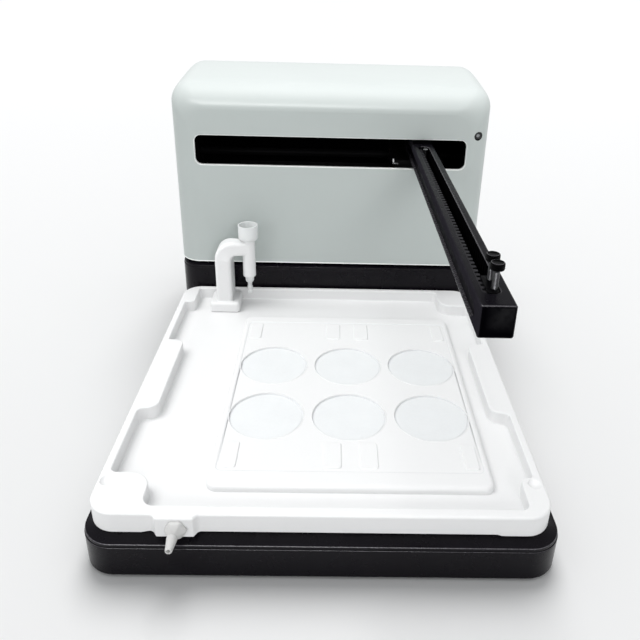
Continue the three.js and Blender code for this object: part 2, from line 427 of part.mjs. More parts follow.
// ---- drip tray and rinse station ----------------------------------------
{
  const tray = group('tray');
  const T = TR;
  const ring = (d, z) => rrect(T.cx - T.hw + d, T.cx + T.hw - d, T.y0 + d, T.y1 - d, T.r - d, 5).map(([x, y]) => [x, y, z]);
  let body = loft([ring(0.8, T.z0), ring(0, T.z0 + 1), ring(0, 41.2), ring(0.55, 42.5), ring(1.8, T.z1)]);
  const xl = T.cx - 130.9;
  const xr = T.cx + 130.9;
  const well = outline([
    [-105.5, 12.2, 7], [121.7, 12.2, 5], [121.7, 39, 6], [xr, 39, 2.5],
    [xr, 103.5, 4.5], [117.5, 103.5, 8], [117.5, 197, 8], [xr, 197, 2],
    [xr, 264, 3], [104, 264, 12], [104, 292, 4], [-123.3, 292, 3],
    [-123.3, 264, 5], [xl, 264, 1.5], [xl, 197, 2], [-118.5, 197, 8],
    [-118.5, 103.5, 8], [xl, 103.5, 4.5], [xl, 39.5, 4], [-105.5, 39.5, 13]], 3);
  body = cut(body, prismZ(well, T.zf, 50));
  // raised rack platform with six round tube-holder recesses
  const P = PLAT;
  const pring = (d, z) => rrect(P.x0 + d, P.x1 - d, P.y0 + d, P.y1 - d, Math.max(P.r - d, 2), 3).map(([x, y]) => [x, y, z]);
  let plat = loft([pring(0, T.zf - 1), pring(0, T.zf), pring(0.9, 35.4), pring(2.6, 37.0), pring(4.4, P.z)]);
  for (const x of [-41.9, 16.9, 75.7]) for (const y of [104.9, 170]) plat = cut(plat, cylZ(x, y, 26.5, P.z - 1.2, 45, 32));
  // low stop pads for the rack
  for (const [a, b] of [[-66.6, -56.6], [-0.9, 11.1], [23.1, 35.1], [91, 100.4]]) for (const y of [63, 222.5]) {
    plat = add(plat, prismZ(rrect(a, b, y - 12.5, y + 12.5, 2, 1), P.z - 1, P.z + 0.5));
  }
  body = add(body, plat);
  // drain boss with flared flanks
  const boss = prismZ([[-101, 6.5], [-97.6, 5.2], [-95.6, 3.4], [-95, 2], [-74.2, 2], [-73.6, 3.4], [-71.6, 5.2], [-68.2, 6.5]], 28.5, 42.2);
  body = add(body, boss);
  body = cut(body,
    box(-104, 105, 0, 300, 20, T.zu),
    box(-140, 140, 60, 240, 20, T.zu),
    cylY(DRAIN.x, DRAIN.z, 2.8, 0, 14.5, 14),
    solid(new THREE.SphereGeometry(11, 14, 10).translate(-130.6, 31.7, 43 + 9.9)),
    solid(new THREE.SphereGeometry(10, 14, 10).translate(129.5, 33, 43 + 9.0)));
  body = add(body, prismZ([[-95, 2], [-74.2, 2], [-73.6, 3.4], [-72, 5.5], [-97, 5.5], [-95.6, 3.4]], 28.5, 31).subtract(cylY(DRAIN.x, DRAIN.z, 2.8, 0, 14.5, 14)));
  node('drip_tray', body, 'white', tray);

  // drain fitting: hooded flange, tapered spout, stem through the tray wall
  const D = DRAIN;
  const y = D.y - GAP;
  const nx = D.x - 1;
  const hood = outline([[D.x - 3.2, 28.7, 0], [D.x + 3.2, 28.7, 0], [D.x + 6.9, 32.9, 0.8], [D.x + 2.7, 39, 1.4], [D.x - 2.7, 39, 1.4], [D.x - 6.9, 32.9, 0.8]], 2);
  let fit = add(prismY(hood, y - 1.5, y), cylY(nx, D.z, 2.7, y - 3.6, y - 1.4, 16, 3.8), cylY(D.x, D.z, 2.5, y - 0.2, 12, 14));
  fit = add(fit, cylY(nx, D.z, 3.1, -4.6, y - 3.5, 16, 2.7), cylY(nx, D.z, 2.05, -13, -4.5, 16, 3.1));
  fit = cut(fit, cylY(nx, D.z, 1.1, -14, y + 0.5, 12), cylY(D.x, D.z, 1.4, y - 0.5, 13, 12));
  node('drain_fitting', fit, 'clear', tray);

  const st = group('rinse_station', tray);
  const foot = loft([[0, 32.8], [0, 40.4], [2.2, 42.5]].map(([d, z]) => rrect(-109.5 + d, -82 - d, 263 + d, 290.5 - d, 3, 2).map(([a, b]) => [a, b, z])));
  const hook = outline([[-103.2, 42, 0], [-88.7, 42, 0], [-88.7, 86.2, 3.5], [-73.2, 86.2, 0], [-73.2, 99.3, 0], [-103.2, 99.3, 15]], 5);
  let post = prismY(hook, 266, 290);
  // the crossbar narrows towards the spout
  post = cut(post, prismZ([[-86, 264], [-70, 264], [-70, 271.15], [-82, 271.15]], 60, 110), prismZ([[-82, 282.85], [-70, 282.85], [-70, 292], [-86, 292]], 60, 110));
  post = add(foot, post, cylZ(STN.x, STN.y, 5.85, 64.4, 100.9, 24));
  post = cut(post, cylZ(STN.x, STN.y, 2.4, 60, 104, 12));
  node('station_post', post, 'white', st);
  node('rinse_cup', latheZ([[1.5, 101.2], [9, 101.2], [9, 115], [7.8, 115], [7.8, 102.8], [1.5, 102.8], [1.5, 101.2]], STN.x, STN.y, 24), 'clear', st);
  node('rinse_barb', latheZ([[1.2, 46.9], [2.1, 46.9], [2.6, 49.9], [2, 50.3], [2.6, 53.3], [2, 53.7], [2, 58.5], [3.6, 59.3], [3.9, 63.1], [3.9, 64.1],
    [2.1, 64.1], [2.1, 82.9], [1.2, 82.9], [1.2, 46.9]], STN.x, STN.y, 14), 'clear', st);
}

export default root;
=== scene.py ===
import json
import math

import bmesh
import bpy
from mathutils import Matrix, Vector, noise
from mathutils.geometry import tessellate_polygon

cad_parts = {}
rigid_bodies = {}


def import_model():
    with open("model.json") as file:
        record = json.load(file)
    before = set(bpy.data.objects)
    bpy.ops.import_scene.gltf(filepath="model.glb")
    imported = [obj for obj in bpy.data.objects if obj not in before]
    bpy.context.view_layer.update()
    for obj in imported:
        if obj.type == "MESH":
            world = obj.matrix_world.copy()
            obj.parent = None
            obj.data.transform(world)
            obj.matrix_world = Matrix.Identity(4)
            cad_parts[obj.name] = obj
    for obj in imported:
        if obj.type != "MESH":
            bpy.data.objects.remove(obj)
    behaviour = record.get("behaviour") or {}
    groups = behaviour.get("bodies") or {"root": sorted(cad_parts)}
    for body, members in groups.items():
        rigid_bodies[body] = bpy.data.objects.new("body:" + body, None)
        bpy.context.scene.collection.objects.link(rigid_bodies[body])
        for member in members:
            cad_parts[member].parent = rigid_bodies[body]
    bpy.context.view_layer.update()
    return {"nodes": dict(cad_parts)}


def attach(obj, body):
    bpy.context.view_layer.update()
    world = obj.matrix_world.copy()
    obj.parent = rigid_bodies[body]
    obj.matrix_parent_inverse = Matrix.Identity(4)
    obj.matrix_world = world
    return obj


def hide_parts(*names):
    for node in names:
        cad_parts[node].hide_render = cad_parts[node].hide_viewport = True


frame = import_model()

MM = 0.001


def W(x, y, z):
    """working millimetres (front of base y 0, underside of base z 0) to the row frame in metres"""
    return Vector((x * MM, (y - 207.0) * MM, (z + 2.0) * MM))


# ------------------------------------------------------------------ camera
def camera():
    pitch, yaw, roll = math.radians(-24.789), math.radians(-1.174), math.radians(1.568)
    rx = Matrix.Rotation(pitch, 3, "X")
    rz = Matrix.Rotation(yaw, 3, "Z")
    r = rz @ rx
    right, fwd, up = r.col[0], r.col[1], r.col[2]
    c, s = math.cos(roll), math.sin(roll)
    ax = right * c + up * s
    ay = up * c - right * s
    az = -fwd
    m = Matrix((
        (ax.x, ay.x, az.x, 0), (ax.y, ay.y, az.y, 0), (ax.z, ay.z, az.z, 0), (0, 0, 0, 1)))
    m.translation = W(1.546, -277.62, 330.057)
    cd = bpy.data.cameras.new("view_camera")
    cd.sensor_fit = "HORIZONTAL"
    cd.sensor_width = 36.0
    cd.lens = 659.23 * 36.0 / 640.0
    cd.shift_x = (320 - 342.52) / 640
    cd.shift_y = (268.0 - 320) / 640
    cd.clip_start = 0.01
    cd.clip_end = 100
    cam = bpy.data.objects.new("view_camera", cd)
    bpy.context.scene.collection.objects.link(cam)
    cam.matrix_world = m
    bpy.context.scene.camera = cam


camera()


# ------------------------------------------------------------------ mesh tools
def outline(pts, k=8, d=0.0):
    """corner list [(x, y, r)], counter-clockwise, grown inwards by d, to points with rounded corners.
    The number of points doesn't depend on d, so offset outlines can be skinned."""
    n = len(pts)
    P = [Vector((p[0], p[1])) for p in pts]
    E = [(P[(i + 1) % n] - P[i]).normalized() for i in range(n)]
    N = [Vector((-e.y, e.x)) for e in E]
    out = []
    for i in range(n):
        e0, e1, n0, n1 = E[i - 1], E[i], N[i - 1], N[i]
        cr = e0.x * e1.y - e0.y * e1.x
        r = pts[i][2]
        if abs(cr) < 1e-6:
            out.append(tuple(P[i] + n0 * d))
            continue
        s = (n1 - n0).dot(e0) / 1.0
        m = (n0 + n1) / (1 + n0.dot(n1))
        v = P[i] + m * d
        if r <= 0:
            out.append((v.x, v.y))
            continue
        turn = math.atan2(cr, e0.dot(e1))
        rr = r - d if turn > 0 else r + d
        rr = max(rr, 0.04)
        t = rr * math.tan(abs(turn) / 2)
        p0 = v - e0 * t
        c = p0 + (n0 * rr if turn > 0 else -n0 * rr)
        a0 = math.atan2(p0.y - c.y, p0.x - c.x)
        steps = max(2, round(k * abs(turn) / (math.pi / 2)))
        for j in range(steps + 1):
            a = a0 + turn * j / steps
            out.append((c.x + rr * math.cos(a), c.y + rr * math.sin(a)))
    return out


def rrect(x0, x1, y0, y1, r):
    return [(x0, y0, r), (x1, y0, r), (x1, y1, r), (x0, y1, r)]


def at_z(pts, z):
    return [(x, y, z) for x, y in pts]


def arc(r, steps, a0=0.0, a1=90.0):
    return [(r * math.cos(math.radians(a0 + (a1 - a0) * i / steps)), r * math.sin(math.radians(a0 + (a1 - a0) * i / steps))) for i in range(steps + 1)]


class Build:
    def __init__(self):
        self.v, self.f, self.mi = [], [], []
        self.mat = 0

    def ring(self, pts):
        i = len(self.v)
        self.v += [W(*p) for p in pts]
        return list(range(i, i + len(pts)))

    def face(self, f):
        self.f.append(tuple(f))
        self.mi.append(self.mat)

    def skin(self, a, b, closed=True):
        n = len(a)
        for i in range(n if closed else n - 1):
            j = (i + 1) % n
            self.face((a[i], a[j], b[j], b[i]))

    def rings(self, rows, closed=True):
        rs = [self.ring(r) for r in rows]
        for a, b in zip(rs, rs[1:]):
            self.skin(a, b, closed)
        return rs

    def cap(self, outer, *holes):
        loops = [outer, *holes]
        flat = [i for l in loops for i in l]
        if not holes:
            self.face(outer)
            return
        for t in tessellate_polygon([[self.v[i] for i in l] for l in loops]):
            self.face([flat[k] for k in t])

    def obj(self, name, merge=2e-6):
        me = bpy.data.meshes.new(name)
        me.from_pydata([tuple(v) for v in self.v], [], self.f)
        me.polygons.foreach_set("material_index", self.mi)
        for _ in range(max(self.mi) + 1 if max(self.mi) else 0):
            me.materials.append(M["white"])
        bm = bmesh.new()
        bm.from_mesh(me)
        bmesh.ops.remove_doubles(bm, verts=bm.verts, dist=merge)
        bmesh.ops.dissolve_degenerate(bm, edges=bm.edges, dist=1e-7)
        bmesh.ops.recalc_face_normals(bm, faces=bm.faces)
        bm.to_mesh(me)
        bm.free()
        o = bpy.data.objects.new(name, me)
        bpy.context.scene.collection.objects.link(o)
        return o


def join(name, objs):
    """several closed bodies as one object"""
    bm = bmesh.new()
    for o in objs:
        bm.from_mesh(o.data)
    me = bpy.data.meshes.new(name)
    bm.to_mesh(me)
    bm.free()
    for o in objs:
        bpy.data.objects.remove(o)
    o = bpy.data.objects.new(name, me)
    bpy.context.scene.collection.objects.link(o)
    return o


def settle(o):
    """applies the modifiers"""
    dg = bpy.context.evaluated_depsgraph_get()
    dg.update()
    me = bpy.data.meshes.new_from_object(o.evaluated_get(dg))
    o.modifiers.clear()
    old = o.data
    o.data = me
    bpy.data.meshes.remove(old)


def boolean(o, cutter, op="DIFFERENCE", keep=False):
    m = o.modifiers.new("b", "BOOLEAN")
    m.solver = "EXACT"
    m.operation = op
    m.object = cutter
    settle(o)
    if not keep:
        bpy.data.objects.remove(cutter)


def clean(o, dist=1e-6):
    bm = bmesh.new()
    bm.from_mesh(o.data)
    bmesh.ops.remove_doubles(bm, verts=bm.verts, dist=dist)
    bmesh.ops.dissolve_degenerate(bm, edges=bm.edges, dist=dist)
    bm.to_mesh(o.data)
    bm.free()


def smooth(o, angle=35, weighted=True):
    me = o.data
    me.polygons.foreach_set("use_smooth", [True] * len(me.polygons))
    me.set_sharp_from_angle(angle=math.radians(angle))
    if weighted:
        w = o.modifiers.new("normals", "WEIGHTED_NORMAL")
        w.mode = "FACE_AREA"
        w.keep_sharp = True
    me.update()


def bevel(o, width, segments=2, angle=40):
    b = o.modifiers.new("edge", "BEVEL")
    b.width = width * MM
    b.segments = segments
    b.limit_method = "ANGLE"
    b.angle_limit = math.radians(angle)
    b.use_clamp_overlap = True
    b.miter_outer = "MITER_ARC"
    b.harden_normals = False
    return b


def prism(axis, pts, a, b):
    """closed straight body from an outline; axis z: (x, y), y: (x, z), x: (y, z)"""
    q = Build()
    if axis == "z":
        put = lambda p, t: (p[0], p[1], t)
    elif axis == "y":
        put = lambda p, t: (p[0], t, p[1])
    else:
        put = lambda p, t: (t, p[0], p[1])
    r0 = q.ring([put(p, a) for p in pts])
    r1 = q.ring([put(p, b) for p in pts])
    q.skin(r0, r1)
    q.cap(r0)
    q.cap(r1)
    return q.obj("tool")


def block(x0, x1, y0, y1, z0, z1):
    return prism("z", [(x0, y0), (x1, y0), (x1, y1), (x0, y1)], z0, z1)


def circle(cx, cy, r, n):
    return [(cx + r * math.cos(2 * math.pi * i / n), cy + r * math.sin(2 * math.pi * i / n)) for i in range(n)]


def turned(name, profile, x, y, n=48, axis="z", closed=False):
    """profile of (radius, height); axis z stands at (x, y), axis y lies along y at (x, z) with heights as y"""
    q = Build()
    rows = []
    for r, h in profile:
        row = []
        for i in range(n):
            a = 2 * math.pi * i / n
            u, v = max(r, 1e-6) * math.cos(a), max(r, 1e-6) * math.sin(a)
            row.append((x + u, y + v, h) if axis == "z" else (x + u, h, y + v))
        rows.append(row)
    rs = q.rings(rows)
    if closed:
        q.skin(rs[-1], rs[0])
    return q.obj(name)


# ------------------------------------------------------------------ materials
def new_mat(name):
    m = bpy.data.materials.new(name)
    m.use_nodes = True
    nt = m.node_tree
    for n in list(nt.nodes):
        nt.nodes.remove(n)
    out = nt.nodes.new("ShaderNodeOutputMaterial")
    p = nt.nodes.new("ShaderNodeBsdfPrincipled")
    nt.links.new(p.outputs["BSDF"], out.inputs["Surface"])
    co = nt.nodes.new("ShaderNodeTexCoord")
    return m, nt, p, co


def noise_node(nt, co, scale, detail=3.0, rough=0.55, stretch=None, dist=0.0):
    src = co.outputs["Object"]
    if stretch:
        mp = nt.nodes.new("ShaderNodeMapping")
        mp.inputs["Scale"].default_value = stretch
        nt.links.new(src, mp.inputs["Vector"])
        src = mp.outputs["Vector"]
    n = nt.nodes.new("ShaderNodeTexNoise")
    n.inputs["Scale"].default_value = scale
    n.inputs["Detail"].default_value = detail
    n.inputs["Roughness"].default_value = rough
    n.inputs["Distortion"].default_value = dist
    nt.links.new(src, n.inputs["Vector"])
    return n


def ramp(nt, src, stops):
    r = nt.nodes.new("ShaderNodeValToRGB")
    e = r.color_ramp.elements
    while len(e) > 1:
        e.remove(e[-1])
    e[0].position, e[0].color = stops[0][0], (*stops[0][1], 1)
    for pos, col in stops[1:]:
        x = e.new(pos)
        x.color = (*col, 1)
    nt.links.new(src, r.inputs["Fac"])
    return r


def mapr(nt, src, a, b, c, d):
    m = nt.nodes.new("ShaderNodeMapRange")
    m.inputs["From Min"].default_value = a
    m.inputs["From Max"].default_value = b
    m.inputs["To Min"].default_value = c
    m.inputs["To Max"].default_value = d
    nt.links.new(src, m.inputs["Value"])
    return m


def mix(nt, fac, a, b, kind="MIX"):
    m = nt.nodes.new("ShaderNodeMix")
    m.data_type = "RGBA"
    m.blend_type = kind
    for key, val in (("Factor", fac), ("A", a), ("B", b)):
        sock = [s for s in m.inputs if s.name == key and (s.type == "RGBA" or key == "Factor")][0]
        if isinstance(val, (int, float)):
            sock.default_value = val
        elif isinstance(val, tuple):
            sock.default_value = (*val, 1)
        else:
            nt.links.new(val, sock)
    return [s for s in m.outputs if s.type == "RGBA"][0]


def scale3(c, k):
    return tuple(max(0.0, min(1.0, v * k)) for v in c)


def surface(name, color, rough, metal=0.0, spec=0.5, ior=1.5, tone=0.05, tone_scale=18, grain=900, grain_mm=0.02,
            rough_var=0.06, wear_and_sheen=0.0, wear_and_sheen_color=None, stretch=None, coat=0.0, coat_rough=0.2, bump_strength=0.6):
    """moulded, painted or machined surface: cloudy tone, fine grain in relief, uneven gloss, lighter edges by
    pointiness that are partly wear and partly a painted edge highlight
    """
    m, nt, p, co = new_mat(name)
    big = noise_node(nt, co, tone_scale, 4.0, 0.6)
    r = ramp(nt, big.outputs["Fac"], [(0.3, scale3(color, 1 - tone)), (0.7, scale3(color, 1 + tone))])
    col = r.outputs["Color"]
    fine = noise_node(nt, co, grain, 2.0, 0.5, stretch)
    col = mix(nt, mapr(nt, fine.outputs["Fac"], 0.35, 0.65, 0.0, 0.35).outputs["Result"], col, scale3(color, 1 + tone * 1.6))
    if wear_and_sheen > 0:
        # convex edges lightened by pointiness: partly wear, partly a painted highlight along the edges
        g = nt.nodes.new("ShaderNodeNewGeometry")
        w = mapr(nt, g.outputs["Pointiness"], 0.53, 0.6, 0.0, wear_and_sheen)
        n2 = noise_node(nt, co, 140, 3.0, 0.6)
        edge_wear_and_sheen_mask = nt.nodes.new("ShaderNodeMath")
        edge_wear_and_sheen_mask.operation = "MULTIPLY"
        nt.links.new(w.outputs["Result"], edge_wear_and_sheen_mask.inputs[0])
        nt.links.new(mapr(nt, n2.outputs["Fac"], 0.35, 0.6, 0.2, 1.0).outputs["Result"], edge_wear_and_sheen_mask.inputs[1])
        col = mix(nt, edge_wear_and_sheen_mask.outputs[0], col, wear_and_sheen_color or scale3(color, 1.6))
    nt.links.new(col, p.inputs["Base Color"])
    rn = noise_node(nt, co, tone_scale * 3.3, 3.0, 0.6)
    rr = mapr(nt, rn.outputs["Fac"], 0.3, 0.7, rough - rough_var, rough + rough_var)
    nt.links.new(rr.outputs["Result"], p.inputs["Roughness"])
    b = nt.nodes.new("ShaderNodeBump")
    b.inputs["Strength"].default_value = bump_strength
    b.inputs["Distance"].default_value = grain_mm * MM
    nt.links.new(fine.outputs["Fac"], b.inputs["Height"])
    nt.links.new(b.outputs["Normal"], p.inputs["Normal"])
    p.inputs["Metallic"].default_value = metal
    p.inputs["IOR"].default_value = ior
    p.inputs["Specular IOR Level"].default_value = spec
    p.inputs["Coat Weight"].default_value = coat
    p.inputs["Coat Roughness"].default_value = coat_rough
    return m


M = {}
M["black_shell"] = surface("satin_black_moulding", (0.0029, 0.0022, 0.0040), 0.27, spec=0.15, tone=0.12, grain=1500, grain_mm=0.035, rough_var=0.05, wear_and_sheen=0.35, wear_and_sheen_color=(0.03, 0.029, 0.033))
M["base_painted_highlight"] = surface("satin_black_painted_highlight_line", (0.042, 0.040, 0.046), 0.30, spec=0.5, tone=0.9, tone_scale=620, grain=800, grain_mm=0.13, rough_var=0.15)
M["housing"] = surface("grey_green_paint", (0.50, 0.545, 0.53), 0.325, spec=0.35, tone=0.012, tone_scale=9, grain=1100, grain_mm=0.012, rough_var=0.03, wear_and_sheen=0.03, wear_and_sheen_color=(0.62, 0.66, 0.64))
M["housing_inside_painted_shade"] = surface("dark_inside_painted_shade", (0.0014, 0.0014, 0.0016), 0.75, spec=0.0, tone=0.15, grain=700, grain_mm=0.03)
M["white"] = surface("white_moulding", (0.768, 0.77, 0.772), 0.38, spec=0.4, tone=0.012, tone_scale=14, grain=650, grain_mm=0.02, rough_var=0.05, wear_and_sheen=0.15, wear_and_sheen_color=(0.86, 0.865, 0.87))
M["anod_left_side_painted_light"] = surface("black_anodised_matt_left_painted_light", (0.015, 0.014, 0.018), 0.6, spec=0.0, tone=0.14, tone_scale=30, grain=900, grain_mm=0.02, stretch=(1, 0.06, 1), wear_and_sheen=0.3, wear_and_sheen_color=(0.05, 0.049, 0.053))
M["white_painted_shade_line"] = surface("white_crease_painted_shade", (0.68, 0.69, 0.70), 0.5, spec=0.3, tone=0.05, tone_scale=90, grain=650, grain_mm=0.02)
M["white_frost"] = surface("white_frosted", (0.735, 0.75, 0.757), 0.42, spec=0.4, tone=0.02, tone_scale=55, grain=420, grain_mm=0.05, rough_var=0.08)
M["anod_front_painted_shade"] = surface("black_anodised_end_painted_shade", (0.0010, 0.0009, 0.0015), 0.4, spec=0.0, tone=0.14, tone_scale=30, grain=900, grain_mm=0.02, wear_and_sheen=0.4, wear_and_sheen_color=(0.03, 0.03, 0.032))
M["anod_painted_highlight"] = surface("black_anodised_painted_highlight", (0.044, 0.042, 0.047), 0.26, spec=0.5, tone=0.2, tone_scale=160, grain=900, grain_mm=0.02, rough_var=0.1)
M["anod_channel_painted_shade"] = surface("black_anodised_channel_painted_shade", (0.0032, 0.0028, 0.0042), 0.5, spec=0.02, tone=0.14, tone_scale=30, grain=900, grain_mm=0.02, stretch=(1, 0.06, 1))
M["anod"] = surface("black_anodised", (0.0036, 0.0031, 0.0048), 0.30, spec=0.06, tone=0.14, tone_scale=30, grain=900, grain_mm=0.02, stretch=(1, 0.06, 1), wear_and_sheen=0.22, wear_and_sheen_color=(0.04, 0.039, 0.043))
M["black_plastic"] = surface("black_plastic", (0.006, 0.006, 0.007), 0.42, spec=0.2, tone=0.12, grain=1300, grain_mm=0.03, wear_and_sheen=0.3, wear_and_sheen_color=(0.04, 0.04, 0.042))
M["slide"] = surface("black_acetal", (0.0014, 0.0013, 0.0017), 0.35, spec=0.03, tone=0.12, grain=1300, grain_mm=0.02, wear_and_sheen=0.5, wear_and_sheen_color=(0.05, 0.05, 0.052))
M["rubber"] = surface("foot_rubber", (0.012, 0.012, 0.013), 0.78, spec=0.25, tone=0.2, grain=800, grain_mm=0.05)
M["belt_painted_light"] = surface("belt_top_face_painted_light", (0.016, 0.015, 0.018), 0.5, spec=0.2, tone=0.2, tone_scale=80, grain=2200, grain_mm=0.03)
M["belt"] = surface("belt_rubber", (0.0030, 0.0028, 0.0034), 0.55, spec=0.08, tone=0.15, tone_scale=60, grain=2200, grain_mm=0.03, wear_and_sheen=0.6, wear_and_sheen_color=(0.05, 0.05, 0.052))
M["belt_painted_shade"] = surface("belt_right_run_painted_shade", (0.0026, 0.0025, 0.0030), 0.8, spec=0.0, tone=0.15, tone_scale=60, grain=2200, grain_mm=0.03)
M["steel"] = surface("ground_steel", (0.60, 0.60, 0.61), 0.24, metal=1.0, tone=0.05, tone_scale=60, grain=1500, grain_mm=0.01, stretch=(1, 1, 0.05))
M["dark_steel"] = surface("black_oxide_steel", (0.006, 0.006, 0.0065), 0.38, spec=0.12, tone=0.1, tone_scale=40, grain=1200, grain_mm=0.01, stretch=(0.05, 1, 1))
M["thread"] = surface("threaded_steel", (0.10, 0.10, 0.105), 0.34, metal=1.0, tone=0.2, tone_scale=300, grain=1500, grain_mm=0.01)
M["knob"] = surface("gloss_black_knob", (0.0008, 0.0008, 0.0010), 0.22, spec=0.03, tone=0.1, grain=900, grain_mm=0.01)
M["screw"] = surface("black_screw", (0.02, 0.02, 0.021), 0.35, spec=0.4, tone=0.15, tone_scale=300, grain=1500, grain_mm=0.01, wear_and_sheen=0.5, wear_and_sheen_color=(0.12, 0.12, 0.12))
M["paint_edge"] = surface("paint_painted_highlight_line", (0.80, 0.83, 0.81), 0.3, spec=0.5, tone=0.02, grain=1100, grain_mm=0.01, rough_var=0.03)
M["zinc"] = surface("zinc_sheet", (0.34, 0.35, 0.36), 0.42, metal=1.0, tone=0.10, tone_scale=70, grain=500, grain_mm=0.015, wear_and_sheen=0.2, wear_and_sheen_color=(0.6, 0.6, 0.6))
M["alu"] = surface("machined_aluminium", (0.55, 0.56, 0.57), 0.34, metal=1.0, tone=0.04, grain=1400, grain_mm=0.01, stretch=(0.06, 1, 1), wear_and_sheen=0.2, wear_and_sheen_color=(0.75, 0.75, 0.76))
M["bronze"] = surface("sintered_bronze", (0.36, 0.25, 0.13), 0.46, metal=1.0, tone=0.12, tone_scale=90, grain=1800, grain_mm=0.03)


def translucent(name, color, trans, sss, rough):
    m, nt, p, co = new_mat(name)
    big = noise_node(nt, co, 60, 3.0, 0.6)
    r = ramp(nt, big.outputs["Fac"], [(0.3, scale3(color, 0.97)), (0.7, scale3(color, 1.03))])
    nt.links.new(r.outputs["Color"], p.inputs["Base Color"])
    rn = noise_node(nt, co, 240, 3.0, 0.6)
    rr = mapr(nt, rn.outputs["Fac"], 0.3, 0.7, rough - 0.05, rough + 0.06)
    nt.links.new(rr.outputs["Result"], p.inputs["Roughness"])
    fine = noise_node(nt, co, 700, 2.0, 0.5)
    b = nt.nodes.new("ShaderNodeBump")
    b.inputs["Strength"].default_value = 0.5
    b.inputs["Distance"].default_value = 0.02 * MM
    nt.links.new(fine.outputs["Fac"], b.inputs["Height"])
    nt.links.new(b.outputs["Normal"], p.inputs["Normal"])
    p.inputs["Transmission Weight"].default_value = trans
    p.inputs["Subsurface Weight"].default_value = sss
    p.inputs["Subsurface Radius"].default_value = (0.004, 0.004, 0.004)
    p.inputs["Subsurface Scale"].default_value = 1.0
    p.inputs["IOR"].default_value = 1.45
    return m


M["clear"] = translucent("milky_plastic", (0.90, 0.915, 0.915), 0.35, 0.25, 0.36)
M["drain"] = translucent("drain_plastic", (0.64, 0.638, 0.63), 0.2, 0.3, 0.36)


def motor_mat():
    m, nt, p, co = new_mat("motor_laminations")
    sep = nt.nodes.new("ShaderNodeSeparateXYZ")
    nt.links.new(co.outputs["Object"], sep.inputs[0])
    w = nt.nodes.new("ShaderNodeMath")
    w.operation = "SINE"
    k = nt.nodes.new("ShaderNodeMath")
    k.operation = "MULTIPLY"
    k.inputs[1].default_value = 2 * math.pi / 0.001
    nt.links.new(sep.outputs["Z"], k.inputs[0])
    nt.links.new(k.outputs[0], w.inputs[0])
    big = noise_node(nt, co, 40, 3.0)
    r = ramp(nt, big.outputs["Fac"], [(0.3, (0.02, 0.02, 0.022)), (0.7, (0.035, 0.035, 0.038))])
    nt.links.new(r.outputs["Color"], p.inputs["Base Color"])
    b = nt.nodes.new("ShaderNodeBump")
    b.inputs["Strength"].default_value = 0.5
    b.inputs["Distance"].default_value = 0.1 * MM
    nt.links.new(w.outputs[0], b.inputs["Height"])
    nt.links.new(b.outputs["Normal"], p.inputs["Normal"])
    rr = mapr(nt, big.outputs["Fac"], 0.3, 0.7, 0.35, 0.5)
    nt.links.new(rr.outputs["Result"], p.inputs["Roughness"])
    p.inputs["Metallic"].default_value = 0.5
    return m


def board_mat():
    m, nt, p, co = new_mat("circuit_board")
    br = nt.nodes.new("ShaderNodeTexBrick")
    br.inputs["Scale"].default_value = 260
    br.inputs["Mortar Size"].default_value = 0.03
    br.inputs["Color1"].default_value = (0.012, 0.085, 0.035, 1)
    br.inputs["Color2"].default_value = (0.016, 0.105, 0.045, 1)
    br.inputs["Mortar"].default_value = (0.03, 0.16, 0.07, 1)
    nt.links.new(co.outputs["Object"], br.inputs["Vector"])
    big = noise_node(nt, co, 120, 2.0)
    sep = nt.nodes.new("ShaderNodeSeparateXYZ")
    nt.links.new(co.outputs["Object"], sep.inputs[0])
    up = mapr(nt, sep.outputs["Z"], 0.0770, 0.0774, 0.0, 1.0)
    col = mix(nt, up.outputs["Result"], br.outputs["Color"], (0.014, 0.014, 0.015))
    nt.links.new(col, p.inputs["Base Color"])
    rr = mapr(nt, big.outputs["Fac"], 0.3, 0.7, 0.32, 0.5)
    nt.links.new(rr.outputs["Result"], p.inputs["Roughness"])
    return m


M["motor"] = motor_mat()
M["board"] = board_mat()


def dress(o, mat, body, nodes=()):
    mats = mat if isinstance(mat, (list, tuple)) else [mat]
    idx = [min(p.material_index, len(mats) - 1) for p in o.data.polygons]
    o.data.materials.clear()
    for x in mats:
        o.data.materials.append(M[x])
    o.data.polygons.foreach_set("material_index", idx)
    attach(o, body)
    if nodes:
        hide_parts(*nodes)
    return o


# ------------------------------------------------------------------ base
HW, BD = 142.5, 427.0


def base_plan(y0=0.0, rf=20.0, rr=26.0):
    return [(-HW, y0, rf), (HW, y0, rf), (HW, BD, rr), (-HW, BD, rr)]


def edge_profile(zt, drop=5.05):
    """(inset, height) up the side of the base under its top edge: small ledge, recessed band, tight edge, sloping shoulder"""
    g = zt - drop
    p = [(0, g - 2.95), (0, g - 2.05), (0.06, g - 1.83), (0.2, g - 1.67), (0.46, g - 1.59), (0.52, g - 1.35), (0.46, g - 0.35)]
    r = 0.8
    for i in range(0, 8):
        a = math.radians(80 * i / 7)
        p.append((0.46 + r * (1 - math.cos(a)), g + r * math.sin(a)))
    c = drop - 1.1
    p += [(2.2, zt - c), (4.5, zt - c * 0.747), (6.6, zt - c * 0.443), (8.2, zt - c * 0.2), (9.4, zt - c * 0.05), (10.4, zt)]
    return p


